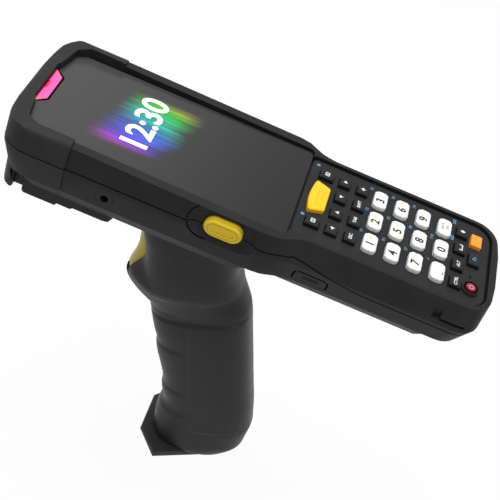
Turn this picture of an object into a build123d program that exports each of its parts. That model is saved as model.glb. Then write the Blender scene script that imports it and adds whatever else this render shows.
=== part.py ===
from build123d import *
import math
import os

os.makedirs("parts", exist_ok=True)

# A portable data terminal clipped into a cradle that stands on a pistol grip.
# Millimetres. X runs across to the user's right, Y along the terminal towards its head and
# Z up. Z = 0 is the underside of the foot, and Y = 0 is the tail edge of the display glass.

# ------------------------------------------------------------------ driving dimensions

GLASS_Z = 189.0            # top face of the display glass above the foot's underside
WALL = 2.2                 # moulded casing walls
FIT = 0.15                 # gap between neighbouring mouldings
CUT = 60.0                 # reach of a cut that only has to clear the part
FAR_Y, NEAR_Y = 140.0, -110.0

# A box is named by its limits in X, in Y and in height over the glass.

# Terminal casing: half widths of the display end and of the keypad end at three levels.
BASE = -20.5
CASING_BASE_Z = GLASS_Z + BASE
FLOOR = BASE + WALL
CASING_WIDE_Z = GLASS_Z - 9.0
CASING_TOP_Z = GLASS_Z + 5.0
BASE_SIDE, WIDE_SIDE, TOP_SIDE = 36.4, 38.0, 34.6
BASE_WAIST, WIDE_WAIST, TOP_WAIST = 31.5, 34.6, 26.9
BASE_HEAD, WIDE_HEAD, TOP_HEAD = 121.5, 124.6, 124.0
BASE_TAIL, WIDE_TAIL, TOP_TAIL = -88.0, -92.0, -92.6
WAIST_FRONT_Y, WAIST_BACK_Y = 5.0, -8.0
HEAD_BOW = ((9.0, 0.1), (22.0, 0.22))     # from this far out, the head edge falls back at this slope
TAIL_BOW = ((10.0, 0.09),)
HEAD_CORNER, TAIL_CORNER, WAIST_ROUND = 12.0, 11.0, 3.0
CORNER_STEP = 15.0         # degrees turned by each flat of a round casing corner

# Rim heights and the parting line between the casing halves, above or below the glass.
RIM_HEAD, RIM_TAIL = 2.8, 1.1
SEAM_HEAD, SEAM_WAIST, SEAM_TAIL = -7.0, -6.3, -11.6
SEAM_GAP = 0.7
SEAL_INSET = 0.45

# Shock bumper round the head.
BUMPER_Y = 94.5
BUMPER_RIM = 4.4
BUMPER_PROUD = 0.9
BUMPER_HEAD_PROUD = 2.6
BUMPER_SEAT = 2.0
BUMPER_NOSE = ((112.0, 4.4), (118.6, 3.6), (123.8, 1.8), (126.4, -0.6), (127.6, -4.0))
BUMPER_SHOULDER = ((32.8, 4.4), (35.0, 3.6), (36.3, 2.2), (37.6, -1.5))

# Display glass and the status lens in its head edge.
GLASS_THICK = 1.8
GLASS_HALF = 30.7
GLASS_SIDE_HEAD_Y, GLASS_CORNER_X, GLASS_CORNER_Y = 111.0, 27.0, 116.2
LENS_IN_HALF, LENS_OUT_HALF = 8.4, 12.9
LENS_IN_Y, LENS_OUT_Y = 115.6, 119.9
LENS_PROUD = 0.4

SCREEN_FLOOR = -4.6
SCREEN_OPENING = ((-28.7, 28.7), (2.5, 113.0), (-6.0, 1.0))
KEYPAD_OPENING = ((-24.4, 24.4), (-86.0, -2.6), (-6.0, 1.0))
DISPLAY_MODULE = ((-28.3, 28.3), (3.0, 112.5), (-5.3, -GLASS_THICK))
STRAP_SLOT = ((-40.0, -31.2), (-72.7, -69.0), (-6.9, -2.5))
STRAP_GROOVE = ((-40.0, -31.9), (-84.0, -69.0), (-7.6, -6.5))

# Keypad panel, mat and board.
PANEL_THICK = 1.6
PANEL_HALF, PANEL_HEAD_Y, PANEL_TAIL_Y = 26.4, -0.7, -88.4
PANEL_CORNER = 8.5
GROOVE = 0.8
MAT_TOP, MAT_THICK = -5.2, 0.8
DOME_R, DOME_RISE, DOME_SIDES = 1.8, 0.7, 6
KEYPAD_MAT = ((-23.6, 23.6), (-85.4, -3.2), (MAT_TOP - MAT_THICK, MAT_TOP))
MICROPHONE = (-8.5, -81.1, 0.6)
BOARD_TOP, BOARD_UNDER = -6.2, -7.4
BOARD_HEAD = ((-28.0, 28.0), (2.0, 112.0), (BOARD_UNDER, BOARD_TOP))
BOARD_TAIL = ((-24.0, 24.0), (-85.4, 2.0), (BOARD_UNDER, BOARD_TOP))
SHIELD_CANS = [((-21.0, 5.0), (y, y + 22.0), (BOARD_UNDER - 2.2, BOARD_UNDER)) for y in (9.0, 39.0, 69.0)]
MEMORY_CAN = ((12.0, 24.0), (25.0, 55.0), (BOARD_UNDER - 2.2, BOARD_UNDER))

# Key caps.
KEY_TOP = 2.0
KEY_GAP = 0.3
KEY_BEVEL = 0.45
FLANGE_OVER, FLANGE_THICK = 0.7, 0.8
PLUNGER, PLUNGER_END = 3.0, -3.6
ROW_PITCH, COLUMN_PITCH, SMALL_PITCH = 10.42, 15.0, 11.12
KEY_SIZES = {"number": (10.8, 5.6), "small": (6.2, 5.2), "top": (5.6, 6.4), "fn": (7.6, 5.2)}
NUMBER_KEY_CORNER, NUMBER_KEY_CROWN = 1.1, 0.35
FLANGE_TOP = -PANEL_THICK - 0.1
FLANGE_END = FLANGE_TOP - FLANGE_THICK
POWER_RADIUS, POWER_SIDES, POWER_COLLAR, POWER_COLLAR_TALL = 2.7, 16, 1.1, 1.0
SCAN_KEY_BOW, SCAN_KEY_CORNER = 1.4, 0.6
SCAN_KEY_HEAD, SCAN_KEY_TAIL, SCAN_KEY_LONG = 21.0, 15.8, 7.0
TOP_ROW_Y, ARROW_ROW_Y, ESC_ROW_Y = -8.4, -17.2, -25.7
NUMBER_ROW_Y, CONTROL_ROW_Y, POWER_ROW_Y = -34.6, -74.3, -81.3

# Side scan buttons, each in a dished recess.
BUTTON_Y, BUTTON_Z = 24.8, GLASS_Z - 5.0
BUTTON_LONG, BUTTON_TALL, BUTTON_GAP = 17.0, 9.4, 0.3
BUTTON_FACE_X, BUTTON_ROOT_X, BUTTON_BEVEL = 38.4, 32.0, 1.0
BUTTON_SLOT, BUTTON_SLOT_DEEP = (10.4, 2.8), 0.3
BUTTON_FLANGE_HALF, BUTTON_FLANGE_THICK, BUTTON_FLANGE_H = 9.8, 1.0, (-10.4, -5.0)
PILL_SIDES, JACK_SIDES = 20, 24
DISH_FLOOR_X = 35.2
DISH_FLOOR, DISH_MOUTH, DISH_REACH = (26.0, 11.0), (37.0, 22.0), 4.0

SWITCH_CASE_X, SWITCH_TIP_X, SWITCH_END_X = 26.4, 29.6, 30.4
SWITCH_CASE_HALF, SWITCH_TIP_HALF = 2.5, 1.0

# Headset socket in the left side.
JACK_Y, JACK_Z = 75.4, GLASS_Z - 14.0
JACK_BORE, JACK_RING, JACK_DEPTH = 1.8, 3.85, 9.0
JACK_FACE_X, JACK_BACK_X = 37.45, 27.5

# Battery bay, pack, cover and the two side latches.
BAY_HALF, BAY_HEAD_Y, BAY_TAIL_Y, BAY_ROOF = 27.2, 0.9, -71.6, -12.0
HINGE_Y, HINGE_Z, HINGE_R = -75.0, GLASS_Z - 19.2, 1.1
HINGE_X, HINGE_LONG = 14.0, 10.0
COVER_DROP, COVER_DEEP, COVER_CORNER = 0.3, 5.7, 2.4
COVER_TOP, COVER_BASE = (62.0, 1.0, -73.3), (55.0, -1.0, -70.5)
PACK_HALF, PACK_HEAD_Y, PACK_TAIL_Y = 25.4, -0.8, -70.4
PACK_TOP, PACK_BASE = -13.8, -25.2
LATCH_Y, LATCH_LONG, LATCH_TALL = -17.0, 15.0, 6.0
LATCH_BOTTOM_Z = GLASS_Z - 18.6
LATCH_ROOT_X, LATCH_SKIN_X = 29.6, 30.6

# Scan engine and its window in the head.
WINDOW_HALF, WINDOW_LOW, WINDOW_HIGH = 15.0, -18.1, -9.3
WINDOW_THICK, WINDOW_EDGE = 1.3, 1.3
BUMPER_WINDOW = ((-17.0, 17.0), (100.0, FAR_Y), (WINDOW_LOW - 1.2, WINDOW_HIGH + 0.9))
ENGINE_CASE = ((-11.0, 11.0), (103.0, 115.4), (-18.0, -9.0))
ENGINE_POST = ((-9.0, 9.0), (106.0, 112.0), (-9.0, BOARD_UNDER))
ENGINE_FACE_Y, ENGINE_BARRELS_H = 115.4, -13.5
ENGINE_BARRELS, BARREL_LONG = ((-4.5, 3.0), (4.8, 2.2)), 1.0

# Identical screws: four up through the display end, two at the tail, three across the grip.
SCREW_LONG, SCREW_SHANK, SCREW_HEAD, SCREW_HEAD_TALL = 17.0, 1.0, 1.8, 1.4
CASE_SCREWS = ((34.2, 90.0), (34.2, 52.0), (23.2, -84.0))
GRIP_SCREWS = ((36.0, -92.0), (3.0, -120.0), (0.0, -158.0))
BOSS = 2.6
SCREW_SIDES = 10           # screws, their holes and other small rounds are drawn with flats

# Cradle under the head end.
CRADLE_TAIL_Y, BLOCK_HALF = 5.0, 33.0
CRADLE_UNDER, BLOCK_UNDER = -26.0, -33.0
CRADLE_SIDE_VIEW = (
    (CRADLE_TAIL_Y, BASE), (121.4, BASE), (122.0, -31.0), (120.6, BLOCK_UNDER), (117.0, BLOCK_UNDER),
    (116.4, -32.2), (111.2, -32.2), (110.6, BLOCK_UNDER), (96.2, BLOCK_UNDER), (95.4, -31.6),
    (89.2, -31.6), (88.2, -30.6), (72.0, -30.6), (69.4, CRADLE_UNDER - 0.4), (CRADLE_TAIL_Y, CRADLE_UNDER - 0.4),
)
BLOCK_TAIL_Y, BLOCK_HEAD_Y, BLOCK_CORNER = 68.0, 122.0, 7.0
CRADLE_PLATE = ((CRADLE_UNDER, 33.6, 6.5, 118.0), (BASE, 36.0, 5.0, 118.8))   # height, half width, ends
PLATE_CORNER = 12.0
LUG_NOTCH_X, LUG_NOTCH = (30.0, 40.0), ((111.6, 116.2), (-40.0, -23.4))
LUG_HOLE = ((116.8, -23.4), (118.6, -23.6), (116.4, -30.0))
POCKET_MIDDLE_Y, POCKET_PITCH, POCKET_SIZE, POCKET_ROOF = 91.0, (19.0, 17.0), (16.0, 14.0), -27.4
NECK_FLARE = (
    (-32.0, 62.0, 12.5, 18.4, 3.0, 2.8),
    (-30.0, 62.8, 11.8, 19.4, 3.0, 2.8),
    (-28.2, 65.2, 10.0, 22.8, 3.0, 2.8),
    (-25.6, 70.0, 6.6, 31.0, 3.0, 2.8),
)

# Pistol grip, as ovals at levels under the glass: level, front, back, half width, and how square the
# oval's front and back are (2 is an ellipse). It carries the trigger's hub, the beak that rests on
# the middle finger, the finger waves, and a toe and heel over the foot.
GRIP_LEVELS = (
    (-32.0, 62.0, 12.5, 18.4, 3.0, 2.8),
    (-46.0, 61.0, 11.8, 18.6, 3.0, 2.8),
    (-54.0, 57.8, 10.4, 19.0, 3.0, 2.8),
    (-62.0, 55.6, 7.4, 19.4, 3.0, 2.6),
    (-70.0, 54.8, 2.2, 19.2, 3.0, 2.6),
    (-77.0, 55.6, -2.2, 18.2, 3.0, 2.6),
    (-82.0, 60.4, -4.2, 16.6, 2.2, 2.6),
    (-87.0, 62.0, -5.8, 16.4, 2.0, 2.6),
    (-91.0, 60.2, -7.1, 16.4, 2.0, 2.6),
    (-95.0, 54.6, -8.4, 16.6, 2.2, 2.6),
    (-99.5, 45.0, -9.8, 16.9, 2.4, 2.6),
    (-107.0, 39.6, -12.2, 17.0, 2.5, 2.6),
    (-114.0, 37.8, -14.5, 17.0, 2.5, 2.6),
    (-128.0, 30.8, -19.2, 17.0, 2.5, 2.6),
    (-142.0, 27.0, -23.8, 17.0, 2.5, 2.6),
    (-153.0, 22.4, -27.4, 17.0, 2.5, 2.6),
    (-163.0, 20.2, -30.2, 16.8, 2.6, 2.6),
    (-172.0, 20.8, -31.2, 16.8, 2.6, 2.6),
    (-180.0, 21.4, -30.4, 16.8, 2.6, 2.6),
    (-184.0, 20.8, -27.8, 16.2, 2.6, 2.6),
    (-185.8, 19.4, -25.2, 15.0, 2.6, 2.6),
)
OVAL_FACETS = 24
GRIP_HOLLOW = (
    (-31.0, 53.0, 15.6),
    (-56.0, 51.0, 13.4),
    (-78.0, 47.0, 1.5),
    (-99.5, 38.5, -6.4),
    (-128.0, 27.0, -15.8),
    (-155.0, 18.0, -24.4),
    (-182.5, 15.0, -20.0),
)
HOLLOW_HALF, HOLLOW_CORNER, BOSS_REACH = 13.6, 6.0, 14.4
GRIP_INSET_X = 16.55       # face of the shallow inset panel in each side of the handle
GRIP_INSET = (
    (24.0, -88.0), (22.1, -92.0), (4.6, -154.0), (0.6, -157.5), (-9.5, -162.0), (-32.0, -150.0), (-8.0, -84.0),
)
FOOT_TOP_Z = 3.2
FOOT_POINTS = ((11.5, 25.4), (25.5, 13.3), (9.0, -17.5))

# Trigger, hung on a pin in the top of the grip, as ovals in the same way.
TRIGGER_HALF, TRIGGER_GAP = 7.2, 0.7
TRIGGER_LEVELS = (
    (-34.6, 58.4, 45.0, 6.2, 2.3, 5.0),
    (-42.0, 60.9, 45.0, TRIGGER_HALF, 2.3, 5.0),
    (-54.0, 60.8, 45.0, TRIGGER_HALF, 2.3, 5.0),
    (-63.0, 59.8, 45.2, TRIGGER_HALF, 2.3, 5.0),
    (-71.0, 60.2, 47.6, TRIGGER_HALF, 2.3, 5.0),
    (-77.0, 61.6, 49.6, TRIGGER_HALF, 2.3, 5.0),
    (-79.8, 61.0, 50.6, 6.6, 2.3, 5.0),
    (-81.2, 58.8, 52.4, 5.2, 2.3, 5.0),
)
TRIGGER_MOUTH_BACK = 43.0
TRIGGER_FACETS = 16
PIN_Y, PIN_Z, PIN_R, PIN_HALF = 50.0, GLASS_Z - 38.0, 1.5, 14.0
PIN_FIT = 0.05
HUB_R, HUB_SIDES = 4.2, 16
HUB_SLOT = ((-4.0, 4.0), (40.0, PIN_Y + 3.4), (-42.4, -30.0))
SWITCH_BODY = ((-5.0, 5.0), (34.0, 40.0), (-66.0, -56.0))
SWITCH_PLUNGER = ((-1.5, 1.5), (40.0, 41.6), (-62.5, -59.5))
SWITCH_LAND_X, SWITCH_LAND = 5.1, ((34.0, 40.5), (-66.0, -56.0))
SCREW_BOSS = 3.6
TRIGGER_MOUTH = -83.2
SPRING_STRIP, SPRING_R, SPRING_HALF = 0.6, 2.4, 3.0
SPRING_SHORT_LEG, SPRING_LONG_LEG = 3.35, 9.0


def export(name, piece):
    """Labels a finished piece and writes its STEP file."""
    piece.part.label = name
    export_step(piece.part, f"parts/{name}.step")


# ------------------------------------------------------------------ outlines used by more than one piece


def walled(rings):
    """A solid with flat walls between rings of points at successive levels."""
    faces = [Face(Wire.make_polygon(ring)) for ring in (rings[0], rings[-1])]
    for low, high in zip(rings, rings[1:]):
        for i, a in enumerate(low):
            j = (i + 1) % len(low)
            b, c, d = low[j], high[j], high[i]
            if abs((b - a).cross(c - a).normalized().dot(d - a)) < 1e-6:
                faces.append(Face(Wire.make_polygon([a, b, c, d])))
            else:
                faces.append(Face(Wire.make_polygon([a, b, c])))
                faces.append(Face(Wire.make_polygon([a, c, d])))
    return Solid(Shell(faces))


def both_sides(right, height):
    """A ring of points from those of its right half, at one height."""
    return [Vector(x, y, height) for x, y in (*right, *[(-x, y) for x, y in reversed(right)])]


def end_points(bow, end_y, way, side, radius):
    """The right half of one end: a bowed edge and a round corner, as short flats.

    way is 1 at the head and -1 at the tail."""
    points = []
    slope, y = 0.0, 0.0
    last_x = 0.0
    for x, next_slope in bow:
        y -= slope * (x - last_x)
        points.append((x, y))
        slope, last_x = next_slope, x
    turn = 90.0 - math.degrees(math.atan(slope))
    normal_x, normal_y = math.cos(math.radians(turn)), math.sin(math.radians(turn))
    centre_x = side - radius
    centre_y = (normal_x * (last_x - centre_x) + normal_y * y - radius) / normal_y
    steps = round(turn / CORNER_STEP)
    for i in range(steps + 1):
        angle = math.radians(turn * (1 - i / steps))
        points.append((centre_x + radius * math.cos(angle), centre_y + radius * math.sin(angle)))
    return [(x, end_y + way * y) for x, y in points]


def casing_ring(height, side, waist, head, tail, inset, head_inset):
    """Plan of the terminal at one height: bowed head and tail, and a stepped waist between.

    It lies inset from the outer skin, and head_inset at the head."""
    side, waist, head, tail = side - inset, waist - inset, head - head_inset, tail + inset
    fall = (side - waist) / (WAIST_FRONT_Y - WAIST_BACK_Y) * WAIST_ROUND / 2
    right = end_points(HEAD_BOW, head, 1, side, HEAD_CORNER - inset) + [
        (side, WAIST_FRONT_Y + WAIST_ROUND),
        (side - fall, WAIST_FRONT_Y - WAIST_ROUND / 2),
        (waist + fall, WAIST_BACK_Y + WAIST_ROUND / 2),
        (waist, WAIST_BACK_Y - WAIST_ROUND),
    ] + list(reversed(end_points(TAIL_BOW, tail, -1, waist, TAIL_CORNER - inset)))
    return both_sides(right, height)


def oval_ring(height, front, back, half, front_square, back_square, facets=OVAL_FACETS):
    """An oval at a height over the glass, as flats that face the same ways at every height."""
    middle = (front + back) / 2
    step = math.tau / facets

    def reach(angle):
        square = front_square if math.sin(angle) > 0 else back_square
        power = square / (square - 1)
        across, along = abs(half * math.cos(angle)), abs((front - middle) * math.sin(angle))
        return (across ** power + along ** power) ** (1 / power)

    points = []
    for i in range(facets):
        angle, turned = i * step, (i + 1) * step
        x = (reach(angle) * math.sin(turned) - reach(turned) * math.sin(angle)) / math.sin(step)
        y = (reach(turned) * math.cos(angle) - reach(angle) * math.cos(turned)) / math.sin(step)
        points.append(Vector(x, middle + y, GLASS_Z + height))
    return points


def casing_levels(inset, head_inset):
    """The casing's three plan outlines, moved in from the outer skin."""
    return [
        casing_ring(*level, inset, head_inset) for level in (
            (CASING_BASE_Z, BASE_SIDE, BASE_WAIST, BASE_HEAD, BASE_TAIL),
            (CASING_WIDE_Z, WIDE_SIDE, WIDE_WAIST, WIDE_HEAD, WIDE_TAIL),
            (CASING_TOP_Z, TOP_SIDE, TOP_WAIST, TOP_HEAD, TOP_TAIL),
        )
    ]


def side_zone(points):
    """A slab across the terminal whose side view is a polygon of (Y, height over the glass)."""
    with BuildPart() as zone:
        with BuildSketch(Plane.YZ):
            with BuildLine():
                Polyline(*[(y, GLASS_Z + h) for y, h in points], close=True)
            make_face()
        extrude(amount=CUT, both=True)
    return zone.part


def front_zone(points):
    """A slab along the terminal whose front view is symmetrical: its right half is (X, height)."""
    with BuildPart() as zone:
        with BuildSketch(Plane.XZ):
            with BuildLine():
                right = [(x, GLASS_Z + h) for x, h in points]
                Polyline(*right, *[(-x, z) for x, z in reversed(right)], close=True)
            make_face()
        extrude(amount=3 * CUT, both=True)
    return zone.part


def opening_outline(height, grow=0.0):
    """Plan of the display opening: the glass together with the status lens in its head edge."""
    right = [
        (LENS_OUT_HALF, LENS_OUT_Y), (LENS_OUT_HALF + 0.9, LENS_OUT_Y - 1.1),
        (GLASS_CORNER_X, GLASS_CORNER_Y), (GLASS_HALF, GLASS_SIDE_HEAD_Y), (GLASS_HALF, 0.0),
    ]
    left = [(-x, y) for x, y in reversed(right)]
    with BuildSketch(Plane.XY.offset(height)) as plan:
        with BuildLine():
            Polyline(*right, *left, close=True)
        make_face()
        fillet(plan.vertices().filter_by_position(Axis.Y, -0.1, 0.1), 3.0)
        if grow:
            offset(amount=grow, kind=Kind.INTERSECTION)
    return plan.sketch


def lens_outline(height, grow=0.0):
    """Plan of the trapezoid status lens."""
    with BuildSketch(Plane.XY.offset(height)) as plan:
        with BuildLine():
            Polyline(
                (LENS_IN_HALF, LENS_IN_Y), (LENS_OUT_HALF, LENS_OUT_Y),
                (-LENS_OUT_HALF, LENS_OUT_Y), (-LENS_IN_HALF, LENS_IN_Y), close=True,
            )
        make_face()
        if grow:
            offset(amount=grow, kind=Kind.INTERSECTION)
    return plan.sketch


def panel_outline(height, grow=0.0):
    """Plan of the keypad panel, with wide rounded corners at the tail."""
    with BuildSketch(Plane.XY.offset(height)) as plan:
        middle = (PANEL_HEAD_Y + PANEL_TAIL_Y) / 2
        with Locations((0, middle)):
            Rectangle(2 * (PANEL_HALF + grow), PANEL_HEAD_Y - PANEL_TAIL_Y + 2 * grow)
        fillet(plan.vertices().group_by(Axis.Y)[0], PANEL_CORNER + grow)
        fillet(plan.vertices().group_by(Axis.Y)[-1], 2.0)
    return plan.sketch


def pill(plane, length, height):
    """A round-ended slot shape, long side along the plane's X, its ends drawn with flats."""
    with BuildSketch(plane) as shape:
        Rectangle(length - height, height)
        with GridLocations(length - height, 0, 2, 1):
            RegularPolygon(height / 2, PILL_SIDES)
    return shape.sketch


def pill_ring(plane, length, height):
    """The same shape as a ring of points."""
    steps = PILL_SIDES // 2
    points = []
    for middle, start in (((length - height) / 2, -90), ((height - length) / 2, 90)):
        for i in range(steps + 1):
            angle = math.radians(start + 180 * i / steps)
            local = Vector(middle + height / 2 * math.cos(angle), height / 2 * math.sin(angle))
            points.append(plane.from_local_coords(local))
    return points


def side_plane(x, y, z, hand):
    """A plane on the terminal's side, facing outwards: hand is -1 on the left, 1 on the right."""
    return Plane(origin=(hand * x, y, z), x_dir=(0, hand, 0), z_dir=(hand, 0, 0))


def block(x_range, y_range, h_range):
    """A rectangular solid between limits in X, in Y and in height over the glass."""
    (x0, x1), (y0, y1), (h0, h1) = x_range, y_range, h_range
    with BuildPart() as solid:
        with BuildSketch(Plane.XY.offset(GLASS_Z + h0)):
            with Locations(((x0 + x1) / 2, (y0 + y1) / 2)):
                Rectangle(x1 - x0, y1 - y0)
        extrude(amount=h1 - h0)
    return solid.part


def cross_rod(y, z, radius, x0, x1):
    """A round bar along X."""
    with BuildPart() as bar:
        with BuildSketch(Plane(origin=(x0, y, z), x_dir=(0, 1, 0), z_dir=(1, 0, 0))):
            Circle(radius)
        extrude(amount=x1 - x0)
    return bar.part


def upright_rod(x, y, radius, h0, h1):
    """A small round bar along Z, between two heights over the glass."""
    with BuildPart() as bar:
        with BuildSketch(Plane((x, y, GLASS_Z + h0))):
            RegularPolygon(radius, SCREW_SIDES)
        extrude(amount=h1 - h0)
    return bar.part


def cross_bar(y, h, radius, x0, x1, sides=SCREW_SIDES):
    """A round bar along X, drawn with flats, at a height over the glass."""
    with BuildPart() as bar:
        with BuildSketch(Plane(origin=(x0, y, GLASS_Z + h), x_dir=(0, 1, 0), z_dir=(1, 0, 0))):
            RegularPolygon(radius, sides)
        extrude(amount=x1 - x0)
    return bar.part


def plate_ring(height, half, tail, head):
    """Plan of the cradle's plate at a height over the glass, with round corners as short flats."""
    straight = ((half / 2, 0.0),)
    right = end_points(straight, head, 1, half, PLATE_CORNER)
    right += reversed(end_points(straight, tail, -1, half, PLATE_CORNER))
    return both_sides(right, GLASS_Z + height)


# ------------------------------------------------------------------ envelopes cut into the casing pieces

with BuildPart() as casing_block:
    add(walled(casing_levels(0.0, 0.0)))

with BuildPart() as seal_block:
    add(walled(casing_levels(SEAL_INSET, SEAL_INSET)))

with BuildPart() as seat_block:
    add(walled(casing_levels(BUMPER_SEAT, BUMPER_SEAT)))

with BuildPart() as core_block:
    add(walled(casing_levels(WALL + BUMPER_SEAT, WALL + BUMPER_SEAT)))

with BuildPart() as bumper_block:
    add(walled(casing_levels(-BUMPER_PROUD, -BUMPER_HEAD_PROUD)))

seam_line = [
    (FAR_Y, SEAM_HEAD), (7.0, SEAM_HEAD), (-6.0, SEAM_WAIST), (-38.0, SEAM_TAIL), (NEAR_Y, SEAM_TAIL)
]
rim_line = [(NEAR_Y, RIM_TAIL), (0.0, RIM_TAIL), (BUMPER_Y, RIM_HEAD), (FAR_Y, RIM_HEAD)]
seam_top = [(y, h + SEAM_GAP / 2) for y, h in seam_line]
seam_bottom = [(y, h - SEAM_GAP / 2) for y, h in seam_line]

upper_zone = side_zone(seam_top + rim_line)
lower_zone = side_zone(seam_bottom + [(NEAR_Y, BASE), (FAR_Y, BASE)])
seal_zone = side_zone(seam_top + list(reversed(seam_bottom)))
bumper_upper_zone = side_zone(
    [(BUMPER_Y, SEAM_HEAD + SEAM_GAP / 2), (BUMPER_Y, BUMPER_RIM - 0.2), (BUMPER_Y + 8, BUMPER_RIM),
     *BUMPER_NOSE, (FAR_Y, SEAM_HEAD + SEAM_GAP / 2)]
)
bumper_front_zone = front_zone([*BUMPER_SHOULDER, (CUT, BUMPER_SHOULDER[-1][1] - 10), (CUT, -20)])
bumper_lower_zone = side_zone(
    [(BUMPER_Y, BASE), (BUMPER_Y, SEAM_HEAD - SEAM_GAP / 2), (FAR_Y, SEAM_HEAD - SEAM_GAP / 2), (FAR_Y, BASE)]
)
head_zone = side_zone([(BUMPER_Y, -30), (BUMPER_Y, 20), (FAR_Y, 20), (FAR_Y, -30)])

# The skin that the bumper takes away from the casing's head.
with BuildPart() as bumper_seat:
    add(casing_block.part)
    add(seat_block.part, mode=Mode.SUBTRACT)
    add(head_zone, mode=Mode.INTERSECT)


def mirrored(x):
    """The left and right places of something that the terminal has on both sides."""
    return (-x, x)


# Where the screws pass: a clear hole with a seat for the head below the seam, and a pilot above.
def screw_cut(x, y, pilot):
    """The space one casing screw needs in the rear housing, or in the front housing."""
    with BuildPart() as cut:
        if pilot:
            add(upright_rod(x, y, SCREW_SHANK + 0.05, BASE + 0.1, BASE + SCREW_LONG + 0.3))
        else:
            add(upright_rod(x, y, SCREW_SHANK + 0.2, BASE - 1, SEAM_HEAD + 1))
            add(upright_rod(x, y, SCREW_HEAD + 0.15, BASE - 1, BASE + SCREW_HEAD_TALL + 0.1))
    return cut.part


def dish_cut(hand):
    """The dished recess round a side button."""
    floor_plane = side_plane(DISH_FLOOR_X, BUTTON_Y, BUTTON_Z, hand)
    mouth_plane = side_plane(DISH_FLOOR_X + DISH_REACH, BUTTON_Y, BUTTON_Z, hand)
    with BuildPart() as cut:
        add(walled([pill_ring(floor_plane, *DISH_FLOOR), pill_ring(mouth_plane, *DISH_MOUTH)]))
    return cut.part


def button_well(hand):
    """The opening that a side button slides in."""
    with BuildPart() as cut:
        extrude(pill(side_plane(GLASS_HALF - 0.1, BUTTON_Y, BUTTON_Z, hand),
                     BUTTON_LONG + 2 * BUTTON_GAP, BUTTON_TALL + 2 * BUTTON_GAP), amount=12)
    return cut.part


def latch_outline(x, hand, grow=0.0):
    """Side view of a latch: flat at the bottom and arched at the top."""
    with BuildSketch(side_plane(x, LATCH_Y, LATCH_BOTTOM_Z, hand)) as shape:
        with Locations((0, (LATCH_TALL + grow) / 2)):
            Rectangle(LATCH_LONG + 2 * grow, LATCH_TALL + grow)
        top_corners = [v for v in shape.vertices() if v.Z > LATCH_BOTTOM_Z + 1]
        fillet(top_corners, LATCH_TALL * 0.6)
    return shape.sketch


def latch_pocket(hand):
    """The opening of a latch, wider behind the skin so that the latch can't fall out."""
    with BuildPart() as cut:
        extrude(latch_outline(LATCH_ROOT_X - 4, hand, FIT), amount=14)
        add(latch_flange(LATCH_ROOT_X - 4, LATCH_SKIN_X - LATCH_ROOT_X + 4, FIT, hand))
    return cut.part


def latch_flange(x, thick, grow, hand):
    """The plate behind a latch, a little longer than its face."""
    with BuildPart() as plate:
        with BuildSketch(side_plane(x, LATCH_Y, LATCH_BOTTOM_Z - grow, hand)):
            with Locations((0, 2.3)):
                Rectangle(LATCH_LONG + 1.8 + 2 * grow, 4.6 + 2 * grow)
        extrude(amount=thick)
    return plate.part


with BuildPart() as pane_back:
    add(walled(casing_levels(BUMPER_SEAT + WINDOW_THICK, BUMPER_SEAT + WINDOW_THICK)))

button_cuts = [cut(hand) for cut in (dish_cut, button_well) for hand in (-1, 1)]
case_screws = [(x, y) for far_x, y in CASE_SCREWS for x in mirrored(far_x)]

# ------------------------------------------------------------------ front housing

with BuildPart() as front_hollow:
    add(core_block.part)
    add(side_zone([(FAR_Y, -30), (FAR_Y, SCREEN_FLOOR), (NEAR_Y, SCREEN_FLOOR), (NEAR_Y, -30)]),
        mode=Mode.INTERSECT)

with BuildPart() as front_housing:
    add(casing_block.part)
    add(upper_zone, mode=Mode.INTERSECT)
    add(bumper_seat.part, mode=Mode.SUBTRACT)
    add(block((-CUT, CUT), (BUMPER_Y, FAR_Y), (0.0, 20.0)), mode=Mode.SUBTRACT)
    extrude(opening_outline(GLASS_Z - GLASS_THICK, FIT), amount=20, mode=Mode.SUBTRACT)
    extrude(panel_outline(GLASS_Z - PANEL_THICK, GROOVE), amount=20, mode=Mode.SUBTRACT)
    add(front_hollow.part, mode=Mode.SUBTRACT)
    add(block(*SCREEN_OPENING), mode=Mode.SUBTRACT)
    add(block(*KEYPAD_OPENING), mode=Mode.SUBTRACT)
    for x in mirrored(CASE_SCREWS[-1][0]):
        add(upright_rod(x, CASE_SCREWS[-1][1], BOSS, SEAM_TAIL + SEAM_GAP / 2, -2.0))
    for x, y in case_screws:
        add(screw_cut(x, y, True), mode=Mode.SUBTRACT)
    for cutter in button_cuts:
        add(cutter, mode=Mode.SUBTRACT)
    add(block(*STRAP_SLOT), mode=Mode.SUBTRACT)
    add(block(*STRAP_GROOVE), mode=Mode.SUBTRACT)

export("front_housing", front_housing)

# ------------------------------------------------------------------ rear housing

with BuildPart() as rear_hollow:
    add(core_block.part)
    add(side_zone([(FAR_Y, 0), (FAR_Y, FLOOR), (BAY_TAIL_Y - 2, FLOOR), (BAY_TAIL_Y - 4, -14.0),
                   (NEAR_Y, -14.0), (NEAR_Y, 0)]), mode=Mode.INTERSECT)

window_slot = block((-WINDOW_HALF - FIT, WINDOW_HALF + FIT), (100, FAR_Y),
                    (WINDOW_LOW - FIT, WINDOW_HIGH + FIT)) - pane_back.part

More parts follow.
